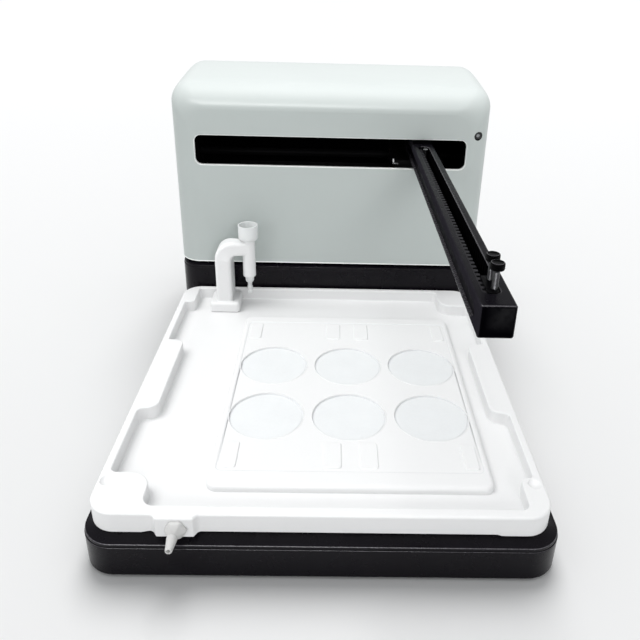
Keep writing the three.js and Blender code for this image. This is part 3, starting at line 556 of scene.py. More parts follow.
def base():
    q = Build()
    pl = base_plan()
    rows = [at_z(outline(pl, 12, d), z) for d, z in [(0.8, 0.0), (0.35, 0.12), (0.08, 0.4), (0, 0.8)] + edge_profile(28)]
    rs = [q.ring(r) for r in rows]
    for i in range(len(rs) - 1):
        # bands 7 and 14 to 17 take a lighter, speckled black: painted highlight lines along the base's top edge and
        # ledge
        q.mat = 1 if 14 <= i + 1 <= 17 or i + 1 == 7 else 0
        q.skin(rs[i], rs[i + 1])
    q.mat = 0
    q.cap(rs[0])
    q.cap(rs[-1])
    low = q.obj("base_body")
    q = Build()
    pl = base_plan(299.5)
    rows = [at_z(outline(pl, 12, d), z) for d, z in [(0, 20.0)] + edge_profile(66, 3.3)]
    rs = [q.ring(r) for r in rows]
    for i in range(len(rs) - 1):
        q.skin(rs[i], rs[i + 1])
    q.mat = 0
    q.cap(rs[0])
    q.cap(rs[-1])
    up = q.obj("up")
    boolean(low, up, "UNION")
    q = Build()
    rs = q.rings([at_z(outline(base_plan(), 6, 3.0), -1), at_z(outline(base_plan(), 6, 3.0), 22.2)])
    q.cap(rs[0]); q.cap(rs[-1])
    boolean(low, q.obj("h"))
    q = Build()
    rs = q.rings([at_z(outline(base_plan(299.5), 6, 3.0), 15), at_z(outline(base_plan(299.5), 6, 3.0), 60.2)])
    q.cap(rs[0]); q.cap(rs[-1])
    boolean(low, q.obj("h"))
    boolean(low, block(-110, 110, 322, 408, 60, 70))
    clean(low)
    # the painted highlight lines are kept on front-facing faces only
    for pol in low.data.polygons:
        if pol.material_index == 1 and pol.normal.y > -0.12:
            pol.material_index = 0
    smooth(low, 32)
    dress(low, ["black_shell", "base_painted_highlight"], "machine", ["base_shell"])


base()


# ------------------------------------------------------------------ housing
COV_TOP = [(0, 211.5), (0.25, 213.6), (0.9, 216.0), (2.1, 218.6), (4.1, 221.6), (6.9, 224.7), (10.2, 227.5), (14, 229.9), (18, 231.7),
           (24, 233.1), (30, 233.8), (50, 235.9), (80, 238.6), (102, 239.4), (109, 238.2), (115.5, 234.6),
           (120.3, 229.0), (123, 222.6), (124, 217.4)]


def chaikin(p, n=2):
    for _ in range(n):
        q = [p[0]]
        for a, b in zip(p, p[1:]):
            q.append((a[0] * 0.75 + b[0] * 0.25, a[1] * 0.75 + b[1] * 0.25))
            q.append((a[0] * 0.25 + b[0] * 0.75, a[1] * 0.25 + b[1] * 0.75))
        q.append(p[-1])
        p = q
    return p


def housing():
    hw, y0, y1, z0, rf, rr, rt = 143.0, 303.0, 427.0, 66.5, 20.0, 26.0, 16.0
    depth = y1 - y0
    top = chaikin(COV_TOP, 2)

    def top_at(t):
        for a, b in zip(top, top[1:]):
            if t <= b[0]:
                return a[1] + (b[1] - a[1]) * (t - a[0]) / max(b[0] - a[0], 1e-6)
        return top[-1][1]

    def half(t, d):
        a, b = rf - d, rr - d
        u, v = t - d, depth - d - t
        w = hw - d
        if u < a:
            w = min(w, hw - rf + math.sqrt(max(0, a * a - (a - u) ** 2)))
        if v < b:
            w = min(w, hw - rr + math.sqrt(max(0, b * b - (b - v) ** 2)))
        return w

    def section(t, w, zb, zt, r, k):
        pts = []
        for i in range(k + 1):
            a = math.pi / 2 * i / k
            pts.append((w - r + r * math.cos(a), zt - r + r * math.sin(a)))
        for i in range(k + 1):
            a = math.pi / 2 * i / k
            pts.append((-w + r - r * math.sin(a), zt - r + r * math.cos(a)))
        pts.append((-w, zb))
        pts.insert(0, (w, zb))
        return [(x, y0 + t, z) for x, z in pts]

    ts = sorted(set([rf * (1 - math.cos(math.radians(90 * i / 18))) for i in range(19)] +
                    [24, 30, 40, 52, 66, 80, 92] +
                    [depth - rr * (1 - math.cos(math.radians(90 * i / 18))) for i in range(19)]))
    q = Build()
    rows = [section(t, half(t, 0), z0, top_at(t), rt, 12) for t in ts]
    outer = [q.ring(r) for r in rows]
    for a, b in zip(outer, outer[1:]):
        q.skin(a, b, closed=False)
    w = 2.5
    # inner skin, in a near-black colour that is painted shade for the dim inside of the cover
    q.mat = 1
    ti = sorted(set([w + (rf - w) * (1 - math.cos(math.radians(90 * i / 8))) for i in range(9)] +
                    [30, 60, 92] + [depth - w - (rr - w) * (1 - math.cos(math.radians(90 * i / 8))) for i in range(9)]))
    inner = [q.ring(section(t, half(t, w), z0, top_at(t) - (3.6 if t < 20 or t > 104 else w), rt - w, 6)) for t in ti]
    for a, b in zip(inner, inner[1:]):
        q.skin(a, b, closed=False)
    q.mat = 0

    def fix_plane(ring, y):
        return ring

    # bottom rim between the two skins
    ob = [r[0] for r in outer] + [r[-1] for r in reversed(outer)]
    ib = [r[0] for r in inner] + [r[-1] for r in reversed(inner)]
    q.cap(ob, ib)
    # front wall with the arm slot, rear wall with the connector window
    slot, win = rrect(-121.6, 121.6, 162.4, 188.9, 5.7), rrect(-93, 93, 82, 128, 3)
    lip = [(-0.85, 0.0), (-0.55, 0.05), (-0.25, 0.22), (-0.06, 0.5), (0.0, 0.85), (0.0, w)]
    for hole, ya, sgn, ring_o, ring_i in ((slot, y0, 1, outer[0], inner[0]), (win, y1, -1, outer[-1], inner[-1])):
        hs = [q.ring([(x, ya + sgn * t, z) for x, z in outline(hole, 10, d)]) for d, t in lip]
        q.cap(ring_o, hs[0])
        for i in range(len(hs) - 1):
            # the front slot's eased lip takes the much lighter paint: a painted highlight line round the slot
            q.mat = 2 if i < 5 and sgn > 0 else 0
            q.skin(hs[i], hs[i + 1])
        hb = hs[-1]
        # inner faces of the walls: the same near-black painted shade
        q.mat = 1
        q.cap(ring_i, hb)
        q.mat = 0
    o = q.obj("housing_body")
    # recessed screw hole on the right
    boolean(o, turned("t", [(0, 298), (4.9, 298), (4.9, 303.0), (4.5, 303.04), (4.15, 303.2), (3.95, 303.5), (3.9, 303.9), (3.9, 309.6), (0, 309.6)], 131.7, 192.9, 40, "y"))
    clean(o)
    # faces inside the screw recess take the near-black colour: painted shade in the hole
    for pol in o.data.polygons:
        c = pol.center
        x, y, z = c.x * 1000, c.y * 1000 + 207, c.z * 1000 - 2
        if all(math.hypot(v.x * 1000 - 131.7, v.z * 1000 - 2 - 192.9) < 3.97 for v in (o.data.vertices[i].co for i in pol.vertices)):
            pol.material_index = 1
    smooth(o, 35)
    dress(o, ["housing", "housing_inside_painted_shade", "paint_edge"], "machine", ["housing_cover"])
    # eased lower edge of the cover, in a much lighter paint colour: a painted highlight line along the cover's bottom
    def low_plan(d):
        return outline([(-hw, y0, rf), (hw, y0, rf), (hw, y1, rr), (-hw, y1, rr)], 12, d)
    q = Build()
    rows = [at_z(low_plan(d), z) for d, z in [(0.6, 66.4), (0.0, 66.42), (-0.26, 66.52), (-0.34, 66.7), (-0.3, 66.9), (0.02, 67.4), (0.6, 67.42)]]
    rs = q.rings(rows)
    q.skin(rs[-1], rs[0])
    e = q.obj("cover_lower_edge")
    smooth(e, 40)
    dress(e, "paint_edge", "machine")
    # screw: dark socket head
    h = outline([(131.7 + 1.75 * math.cos(math.radians(60 * i + 10)), 192.9 + 1.75 * math.sin(math.radians(60 * i + 10)), 0) for i in range(6)])
    s = turned("cover_screw_head", [(0, 309.5), (3.2, 309.5), (3.4, 309.3), (3.4, 307.3), (3.25, 306.8), (2.8, 306.55), (0, 306.5)], 131.7, 192.9, 40, "y")
    boolean(s, prism("y", h, 300, 307.7))
    for pol in s.data.polygons:
        c = pol.center
        if abs(c.y * 1000 + 207 - 307.7) < 0.01:
            pol.material_index = 1
    s2 = turned("shank", [(0, 309.3), (1.7, 309.3), (1.7, 320), (0, 320)], 131.7, 192.9, 20, "y")
    boolean(s, s2, "UNION")
    smooth(s, 35)
    dress(s, ["screw", "zinc"], "machine", ["cover_screw"])


housing()


# ------------------------------------------------------------------ arm
def arm():
    # hollow bar with rounded long edges and a rounded nose
    def bar(d, r):
        return outline([(73.1 + d, 166.4 + d, r), (91.3 - d, 166.4 + d, r), (91.3 - d, 184.8 - d, r), (73.1 + d, 184.8 - d, r)], 5)
    q = Build()
    rows = []
    R = 1.35
    for i in range(7):
        a = math.radians(90 * i / 6)
        d = R * (1 - math.sin(a))
        rows.append([(x, -2.4 + R * (1 - math.cos(a)), z) for x, z in outline([(73.1, 166.4, 1.36), (91.3, 166.4, 1.36), (91.3, 184.8, 1.36), (73.1, 184.8, 1.36)], 5, d)])
    rows.append([(x, 399.6, z) for x, z in bar(0, 1.36)])
    rows.append([(x, 400.0, z) for x, z in outline([(73.1, 166.4, 1.36), (91.3, 166.4, 1.36), (91.3, 184.8, 1.36), (73.1, 184.8, 1.36)], 5, 0.4)])
    rs = q.rings(rows)
    q.cap(rs[0])
    q.cap(rs[-1])
    o = q.obj("arm_body")
    boolean(o, block(76.3, 89.9, -0.9, 352, 168.4, 182.8))
    # long opening in the top, its upper edge eased
    q = Build()
    sl = rrect(77.0, 86.3, 10, 296, 4.08)
    rs = q.rings([at_z(outline(sl, 10, d), z) for d, z in [(0, 181.0), (0, 184.25), (-0.08, 184.5), (-0.25, 184.7), (-0.55, 184.82), (-0.55, 186)]])
    q.cap(rs[0])
    q.cap(rs[-1])
    boolean(o, q.obj("t"))
    # channel along the left side
    q = Build()
    ch = [(8.2, 174.0, 1.0), (16.0, 168.3, 1.5), (402, 168.3, 0), (402, 178.3, 0), (12.0, 178.3, 1.5)]
    rs = q.rings([[(x, y, z) for y, z in outline(ch, 6, d)] for x, d in [(70.0, -0.45), (73.1, -0.45), (73.16, -0.22), (73.34, -0.05), (73.6, 0.0), (75.2, 0.0)]])
    q.cap(rs[0])
    q.cap(rs[-1])
    boolean(o, q.obj("t"))
    boolean(o, prism("z", circle(83.7, 340, 3.2, 20), 181, 187))
    clean(o, 2e-6)
    # faces sorted into lit and shaded copies of the anodising: the cavity, channel walls and slot walls take the
    # near-black painted shade, the channel floor a darker painted shade, the left side a lighter matt copy as painted
    # light, the front face a darker painted shade, and the nose fillet, lip edges and right slot edge a lighter painted
    # highlight
    for pol in o.data.polygons:
        c = pol.center
        n = pol.normal
        x, y, z = c.x * 1000, c.y * 1000 + 207, c.z * 1000 - 2
        k = 0
        if 76.0 < x < 90.0 and -1.0 < y < 353 and 168.2 < z < 182.9:
            k = 1
        elif 73.3 < x < 76.2 and 168.1 < z < 178.6 and y > 7:
            k = 5 if n.x < -0.9 else 1
            if z < 168.6 and n.z > 0.4:
                k = 4
        elif x < 73.7 and z < 168.05 and n.x < -0.35 and y > 14:
            k = 4
        elif n.x < -0.6 and x < 73.7:
            k = 2
        elif n.y < -0.93:
            k = 3
        elif y < -1.0 and 0.45 < n.z < 0.9:
            k = 4
        elif 76.5 < x < 86.9 and 183.0 < z < 184.79 and 9.0 < y < 297 and abs(n.z) > 0.2:
            k = 4 if x > 80 else 0
        elif 76.5 < x < 86.9 and 182.8 < z < 184.6 and 9.5 < y < 296.5:
            k = 1
        pol.material_index = k
    smooth(o, 35)
    dress(o, ["anod", "housing_inside_painted_shade", "anod_left_side_painted_light", "anod_front_painted_shade", "anod_painted_highlight", "anod_channel_painted_shade"], "arm", ["arm_beam"])

    # toothed belt
    pitch, yp0, yp1, cx = 5.08, 5.4, 340.0, 83.7
    ro, ri, rt = 5.85, 4.66, 3.1

    def back(y):        # inner face of the band: thin along the runs, thicker round the pulleys
        t = max(0.0, min(1.0, min(y - yp0 - 4.5, yp1 - 5 - y) / 2.0))
        return ri + 0.75 * t

    def tip(y):
        t = max(0.0, min(1.0, min(y - yp0 - 4.5, yp1 - 8 - y) / 1.0))
        return ri + (rt - ri) * t
    q = Build()
    prof = []  # closed outline: outer loop then inner loop handled as two rings with equal counts
    n_turn = 18
    path = []
    step = pitch / 12
    ny = int(round((yp1 - yp0) / step))
    phase = 1.6
    def tooth(s):
        u = ((s + phase) / pitch) % 1.0
        a = abs(u - 0.5) * 2
        return max(0.0, min(1.0, (0.58 - a) / 0.14))
    s = 0.0
    for i in range(ny):      # left run, going back
        y = yp0 + (yp1 - yp0) * i / ny
        path.append((cx - ro, y, cx - back(y) + (back(y) - tip(y)) * tooth(y), y))
    for i in range(n_turn):  # round the rear pulley
        a = math.pi - math.pi * i / n_turn
        path.append((cx + ro * math.cos(a), yp1 + ro * math.sin(a), cx + ri * math.cos(a), yp1 + ri * math.sin(a)))
    for i in range(ny):
        y = yp1 - (yp1 - yp0) * i / ny
        path.append((cx + ro, y, cx + back(y) - (back(y) - tip(y)) * tooth(y), y))
    for i in range(n_turn):
        a = -math.pi * i / n_turn
        path.append((cx + ro * math.cos(a), yp0 + ro * math.sin(a), cx + ri * math.cos(a), yp0 + ri * math.sin(a)))
    za, zb = 174.6, 182.7
    r = [q.ring([(p[0], p[1], za) for p in path]), q.ring([(p[0], p[1], zb) for p in path]),
         q.ring([(p[2], p[3], zb) for p in path]), q.ring([(p[2], p[3], za) for p in path])]
    for i in range(4):
        q.skin(r[i], r[(i + 1) % 4])
    o = q.obj("head_belt")
    # top faces of the left run get a lighter colour as painted light, all faces of the right run a darker colour as
    # painted shade
    for pol in o.data.polygons:
        if pol.normal.z > 0.7 and pol.center.x * 1000 < cx:
            pol.material_index = 1
        elif pol.center.x * 1000 > cx:
            pol.material_index = 2
    smooth(o, 30, False)
    dress(o, ["belt", "belt_painted_light", "belt_painted_shade"], "arm", ["y_belt"])

    # bright clip on the front of the carriage, seen through the housing slot
    clip = outline([(57.0, 163.0, 0.3), (62.6, 163.0, 0.3), (62.6, 164.3, 0.3), (58.7, 164.5, 0.5), (58.4, 168.4, 0.3), (57.0, 168.4, 0.3)], 4)
    o = prism("y", clip, 313.8, 316.3)
    o.name = "carriage_clip"
    bevel(o, 0.2, 2, 42)
    smooth(o, 35)
    dress(o, "steel", "arm")

    # head slide
    o = block(80.2, 87.2, 11.7, 33, 172.5, 182.5)
    boolean(o, block(76.7, 89.5, 11.7, 33, 169.5, 173.0), "UNION")
    boolean(o, prism("z", outline([(79.9, 12.0, 3.0), (86.0, 12.0, 3.0), (86.0, 32.6, 0.8), (79.9, 32.6, 0.8)], 6), 182.0, 184.0), "UNION")
    for y in (17.8, 28.5):
        boolean(o, prism("z", circle(84.0, y, 1.9, 24), 171, 185))
    clean(o)
    o.name = "head_slide"
    bevel(o, 0.3, 2, 42)
    smooth(o, 35)
    dress(o, "slide", "head", ["head_carriage"])

    # knurled thumbscrews on threaded shanks
    for tag, y in (("front", 17.8), ("rear", 28.5)):
        q = Build()
        n = 96
        rows = []
        def prow(f, z):
            return [(84.2 + f(a) * math.cos(a), y + f(a) * math.sin(a), z) for a in (2 * math.pi * i / n for i in range(n))]
        def kn(z):
            def f(a):
                u = math.sin(15 * a + z * 3.1) * math.sin(15 * a - z * 3.1)
                return 3.70 + 0.09 * max(-1.0, min(1.0, u * 1.6))
            return f
        rows.append(prow(lambda a: 0.001, 194.5))
        rows.append(prow(lambda a: 2.6, 194.5))
        rows.append(prow(lambda a: 3.35, 194.56))
        rows.append(prow(lambda a: 3.62, 194.75))
        for i in range(13):
            z = 195.0 + i * 0.215
            rows.append(prow(kn(z), z))
        rows.append(prow(lambda a: 3.70, 197.85))
        rows.append(prow(lambda a: 3.62, 198.15))
        rows.append(prow(lambda a: 3.4, 198.38))
        rows.append(prow(lambda a: 3.05, 198.48))
        rows.append(prow(lambda a: 2.75, 198.40))
        rows.append(prow(lambda a: 2.5, 198.25))
        rows.append(prow(lambda a: 0.001, 198.2))
        q.rings(rows)
        hd = q.obj("hd")
        # a ring on the rounded top takes the lighter anodised colour: a painted highlight round the head
        for pol in hd.data.polygons:
            c = pol.center
            r = math.hypot(c.x * 1000 - 84.2, c.y * 1000 + 207 - y)
            if c.z * 1000 - 2 > 198.0 and 2.9 < r < 3.5 and pol.normal.z > 0.3:
                pol.material_index = 1
        smooth(hd, 60, False)
        o = hd
        o.name = "thumbscrew_head_" + tag
        dress(o, ["knob", "anod_painted_highlight"], tag + "_thumbscrew")
        q = Build()
        n = 28
        rows = [[(84.2 + 0.001 * math.cos(2 * math.pi * i / n), y + 0.001 * math.sin(2 * math.pi * i / n), 171) for i in range(n)]]
        z = 171.0
        while z < 194.6:
            row = []
            for i in range(n):
                a = 2 * math.pi * i / n
                u = ((z / 0.7) - i / n) % 1.0
                t = 1 - abs(u - 0.5) * 2
                amp = 0.24 * min(1, (z - 171) / 0.6) if z < 193.6 else 0.24 * max(0, (194.5 - z) / 0.9)
                rr = 1.55 + amp * (t - 0.3)
                row.append((84.2 + rr * math.cos(a), y + rr * math.sin(a), z))
            rows.append(row)
            z += 0.7 / 7
        rows.append([(84.2 + 0.001 * math.cos(2 * math.pi * i / n), y + 0.001 * math.sin(2 * math.pi * i / n), 194.62) for i in range(n)])
        q.rings(rows)
        o = q.obj("thumbscrew_shank_" + tag)
        smooth(o, 60, False)
        dress(o, "thread", tag + "_thumbscrew", ["thumbscrew_" + tag])
        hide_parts("thumbscrew_" + tag)

    # stop pin at the rear of the slot
    o = turned("slot_stop_pin", [(0, 169.6), (1.5, 169.6), (1.5, 182.4), (2.0, 182.5), (2.2, 182.7), (2.2, 183.7), (2.0, 183.95), (0, 184.05)], 83.4, 291.5, 32)
    smooth(o, 35)
    dress(o, "steel", "arm", ["rear_stop_pin"])


arm()


# ------------------------------------------------------------------ tray
def tray():
    cx, thw = -0.7, 136.4
    x0, x1, y0, y1 = cx - thw, cx + thw, 5.2, 297.0
    plan = [(x0, y0, 16), (-98.2, y0, 3.5), (-95.4, 2.0, 1.2), (-74.0, 2.0, 1.2), (-71.2, y0, 3.5), (x1, y0, 16), (x1, y1, 16), (x0, y1, 16)]
    xl, xr = cx - 130.9, cx + 130.9
    well = [
        (-105.5, 12.2, 7), (121.7, 12.2, 5), (121.7, 39, 6), (xr, 39, 2.5),
        (xr, 103.5, 4.5), (117.5, 103.5, 8), (117.5, 197, 8), (xr, 197, 2),
        (xr, 264, 3), (104, 264, 12), (104, 292, 4), (-123.3, 292, 3),
        (-123.3, 264, 5), (xl, 264, 1.5), (xl, 197, 2), (-118.5, 197, 8),
        (-118.5, 103.5, 8), (xl, 103.5, 4.5), (xl, 39.5, 4), (-105.5, 39.5, 13)]
    zt, zf = 43.0, 32.5

    def zb(x, y):
        def st(a, b, v):
            t = max(0, min(1, (v - a) / (b - a)))
            return t * t * (3 - 2 * t)
        cxr = max(st(-100.5, -104.5, x) if x < 0 else 0, st(101.5, 105.5, x) if x > 0 else 0)
        cyr = max(st(64, 58, y), st(236, 242, y))
        foot = cxr * cyr
        boss = (st(-97.2, -95.6, x) * st(-72.4, -74.0, x)) if y < 12 else 0
        return 29.4 - 1.1 * foot - 0.9 * boss

    def dens(pts, step=3.0):
        out = []
        n = len(pts)
        for i in range(n):
            a, b = pts[i], pts[(i + 1) % n]
            L = math.hypot(b[0] - a[0], b[1] - a[1])
            m = max(1, int(L / step)) if L > 6 else 1
            for j in range(m):
                out.append((a[0] + (b[0] - a[0]) * j / m, a[1] + (b[1] - a[1]) * j / m))
        return out

    base_pts = outline(plan, 12, 0)
    # fixed subdivision so that every offset ring matches
    def dense_ring(d):
        p = outline(plan, 12, d)
        out = []
        n = len(p)
        for i in range(n):
            a0, b0 = base_pts[i], base_pts[(i + 1) % n]
            L = math.hypot(b0[0] - a0[0], b0[1] - a0[1])
            m = max(1, int(L / 2.5)) if L > 6 else 1
            a, b = p[i], p[(i + 1) % n]
            for j in range(m):
                out.append((a[0] + (b[0] - a[0]) * j / m, a[1] + (b[1] - a[1]) * j / m))
        return out

    ref = dense_ring(0)
    zbs = [zb(x, y) for x, y in ref]
    q = Build()
    rows = []
    inset20 = dense_ring(9)
    rows.append([(x, y, 29.6) for (x, y) in inset20])
    rows.append([(x, y, z + 0.05) for (x, y), z in zip(dense_ring(2.6), zbs)])
    rows.append([(x, y, z) for (x, y), z in zip(dense_ring(1.3), zbs)])
    rows.append([(x, y, z + 0.16) for (x, y), z in zip(dense_ring(0.55), zbs)])
    rows.append([(x, y, z + 0.5) for (x, y), z in zip(dense_ring(0.15), zbs)])
    rows.append([(x, y, z + 1.1) for (x, y), z in zip(ref, zbs)])
    rows.append([(x, y, 36.0) for (x, y) in ref])
    R = 1.7
    for i in range(9):
        a = math.radians(90 * i / 8)
        rows.append([(x, y, zt - R + R * math.sin(a)) for (x, y) in dense_ring(R * (1 - math.cos(a)))])
    rs = q.rings(rows)
    q.cap(rs[0])
    top_outer = rs[-1]
    # well wall: rounded rim edge, wall, rounded foot
    ri, rf = 1.0, 0.9
    wrows = []
    for i in range(9):
        a = math.radians(90 * i / 8)
        wrows.append(at_z(outline(well, 8, -ri + ri * math.sin(a)), zt - ri + ri * math.cos(a)))
    for i in range(9):
        a = math.radians(90 * i / 8)
        wrows.append(at_z(outline(well, 8, rf * (1 - math.cos(a))), zf + rf - rf * math.sin(a)))
    ws = q.rings(wrows)
    q.cap(top_outer, ws[0])
    # platform
    plat = rrect(-73.5, 107.2, 34, 250, 7)
    prow = []
    r1, r2 = 0.35, 3.2
    for i in range(5):
        a = math.radians(90 * i / 4)
        prow.append(at_z(outline(plat, 8, -r1 * (1 - math.sin(a))), zf + r1 * (1 - math.cos(a))))
    for i in range(9):
        a = math.radians(90 * i / 8)
        prow.append(at_z(outline(plat, 8, r2 * (1 - math.cos(a))), 37.5 - r2 + r2 * math.sin(a)))
    ps = q.rings(prow)
    q.cap(ws[-1], ps[0])
    panel = rrect(-69.3, 103.1, 47.5, 238.0, 4)
    zp = 37.5
    zq = 37.15
    n_rows = [at_z(outline(panel, 6, d), z) for d, z in [(-0.25, zp), (0.0, zp - 0.05), (0.25, zq + 0.07), (0.5, zq - 0.02), (0.7, zq - 0.02), (0.95, zq)]]
    ns = [q.ring(r) for r in n_rows]
    # bands 2 and 3 of the panel step take a greyer white: painted shade along the crease
    for i in range(len(ns) - 1):
        q.mat = 2 if i in (2, 3) else 0
        q.skin(ns[i], ns[i + 1])
    q.mat = 0
    q.cap(ps[-1], ns[0])
    holes = []
    for x in (-41.9, 16.9, 75.7):
        for y in (104.9, 170.0):
            n = 72
            rr = [(27.05, zq), (26.95, zq + 0.16), (26.72, zq + 0.26), (26.48, zq + 0.16), (26.32, zq - 0.15), (26.22, zq - 0.85), (26.1, zq - 1.25), (25.9, zq - 1.42),
                  (25.45, zq - 1.42), (25.2, zq - 1.2), (24.9, zq - 1.12), (20.0, zq - 1.16), (10.0, zq - 1.22)]
            cs = [q.ring([(px, py, z) for px, py in circle(x, y, r, n)]) for r, z in rr]
            # the recess walls take the greyer white: painted shade in the crease round each circle
            for i in range(len(cs) - 1):
                q.mat = 2 if 5 <= i <= 9 else (1 if i > 9 else 0)
                q.skin(cs[i], cs[i + 1])
            # the recess floors take a rougher, slightly darker white
            q.mat = 1
            q.cap(cs[-1])
            q.mat = 0
            holes.append(cs[0])
    for x in (-62, 5.1, 29.1, 96.2):
        for y in (63, 222.5):
            f = rrect(x - 6, x + 6, y - 12.5, y + 12.5, 2)
            if x > 90:
                f = rrect(x - 5.2, x + 4.2, y - 12.5, y + 12.5, 2)
            if x < -60:
                f = rrect(x - 4.6, x + 5.4, y - 12.5, y + 12.5, 2)
            cs = [q.ring(at_z(outline(f, 5, d), z)) for d, z in [(-0.2, zq), (-0.1, zq + 0.04), (0.02, zq + 0.35), (0.16, zq + 0.62), (0.42, zq + 0.8), (0.8, zq + 0.85)]]
            for i in range(len(cs) - 1):
                q.skin(cs[i], cs[i + 1])
            q.cap(cs[-1])
            holes.append(cs[0])
    q.cap(ns[-1], *holes)
    o = q.obj("tray_body")
    boolean(o, turned("t", [(0, 0), (2.75, 0), (2.75, 15.5), (0, 15.5)], -83.7, 33.8, 24, "y"))
    for x, y, rad, cut in ((-130.6, 31.7, 4.75, 2.3), (129.5, 33.0, 4.25, 2.2)):
        sr = (rad * rad + cut * cut) / (2 * cut)
        prof = [(0.0, 43 - cut)]
        for i in range(1, 25):
            a = math.radians(64 * i / 24)
            prof.append((sr * math.sin(a), 43 - cut + sr * (1 - math.cos(a))))
        prof.append((0.0, prof[-1][1]))
        boolean(o, turned("t", prof, x, y, 40))
    clean(o)
    smooth(o, 32)
    dress(o, ["white", "white_frost", "white_painted_shade_line"], "tray", ["drip_tray"])

    # drain fitting: fan-shaped hood that runs into the barbed nozzle, stem through the wall
    X, Z, XN = -83.7, 33.8, -84.7
    hood = outline([(X - 3.2, 30.3, 0.8), (X + 3.4, 30.0, 0.8), (X + 6.7, 35.0, 1.0), (X + 3.0, 41.0, 1.6), (X - 3.0, 41.0, 1.6), (X - 6.5, 35.8, 1.0)], 5)
    n = 96

    def reach(a):       # distance from the axis to the hood's outline in direction a
        dx, dz = math.cos(a), math.sin(a)
        best = 0.0
        for i in range(len(hood)):
            (x0, z0), (x1, z1) = hood[i], hood[(i + 1) % len(hood)]
            ex, ez = x1 - x0, z1 - z0
            det = ex * dz - ez * dx
            if abs(det) < 1e-9:
                continue
            t = (ex * (z0 - Z) - ez * (x0 - X)) / det
            u = (dx * (z0 - Z) - dz * (x0 - X)) / det
            if t > 0 and -1e-6 <= u <= 1 + 1e-6:
                best = max(best, t)
        return best
    q = Build()
    rows = []
    for y, k, d in [(1.86, 0, 0), (0.45, 0, 0), (0.22, 0, 0.1), (0.1, 0.02, 0.2), (-0.3, 0.12, 0), (-0.9, 0.3, 0), (-1.6, 0.52, 0), (-2.3, 0.75, 0),
                    (-2.8, 0.92, 0), (-3.1, 1, 0)]:
        row = []
        for i in range(n):
            a = 2 * math.pi * i / n
            r = (reach(a) - d) * (1 - k) + 2.62 * k
            row.append((X + (XN - X) * k + r * math.cos(a), y, Z + r * math.sin(a)))
        rows.append(row)
    for y, r in [(-3.3, 2.62), (-3.6, 2.9), (-4.1, 3.08), (-4.7, 3.05), (-7.0, 2.75), (-9.8, 2.4), (-12.0, 2.12), (-12.6, 2.05), (-12.95, 1.85), (-13.0, 1.5)]:
        rows.append([(XN + r * math.cos(2 * math.pi * i / n), y, Z + r * math.sin(2 * math.pi * i / n)) for i in range(n)])
    rs = q.rings(rows)
    q.cap(rs[0])
    q.cap(rs[-1])
    o = q.obj("drain_spout")
    boolean(o, turned("stem", [(0, 1.6), (2.45, 1.6), (2.45, 12.0), (0, 12.0)], X, Z, 32, "y"), "UNION")
    boolean(o, turned("t", [(0, -14), (1.25, -14), (1.25, -12.8), (1.1, -12.5), (1.1, 2.2), (0, 2.2)], XN, Z, 28, "y"))
    boolean(o, turned("t", [(0, 1.4), (1.4, 1.4), (1.4, 13.0), (0, 13.0)], X, Z, 24, "y"))
    clean(o)
    smooth(o, 38)
    dress(o, "drain", "tray", ["drain_fitting"])


tray()


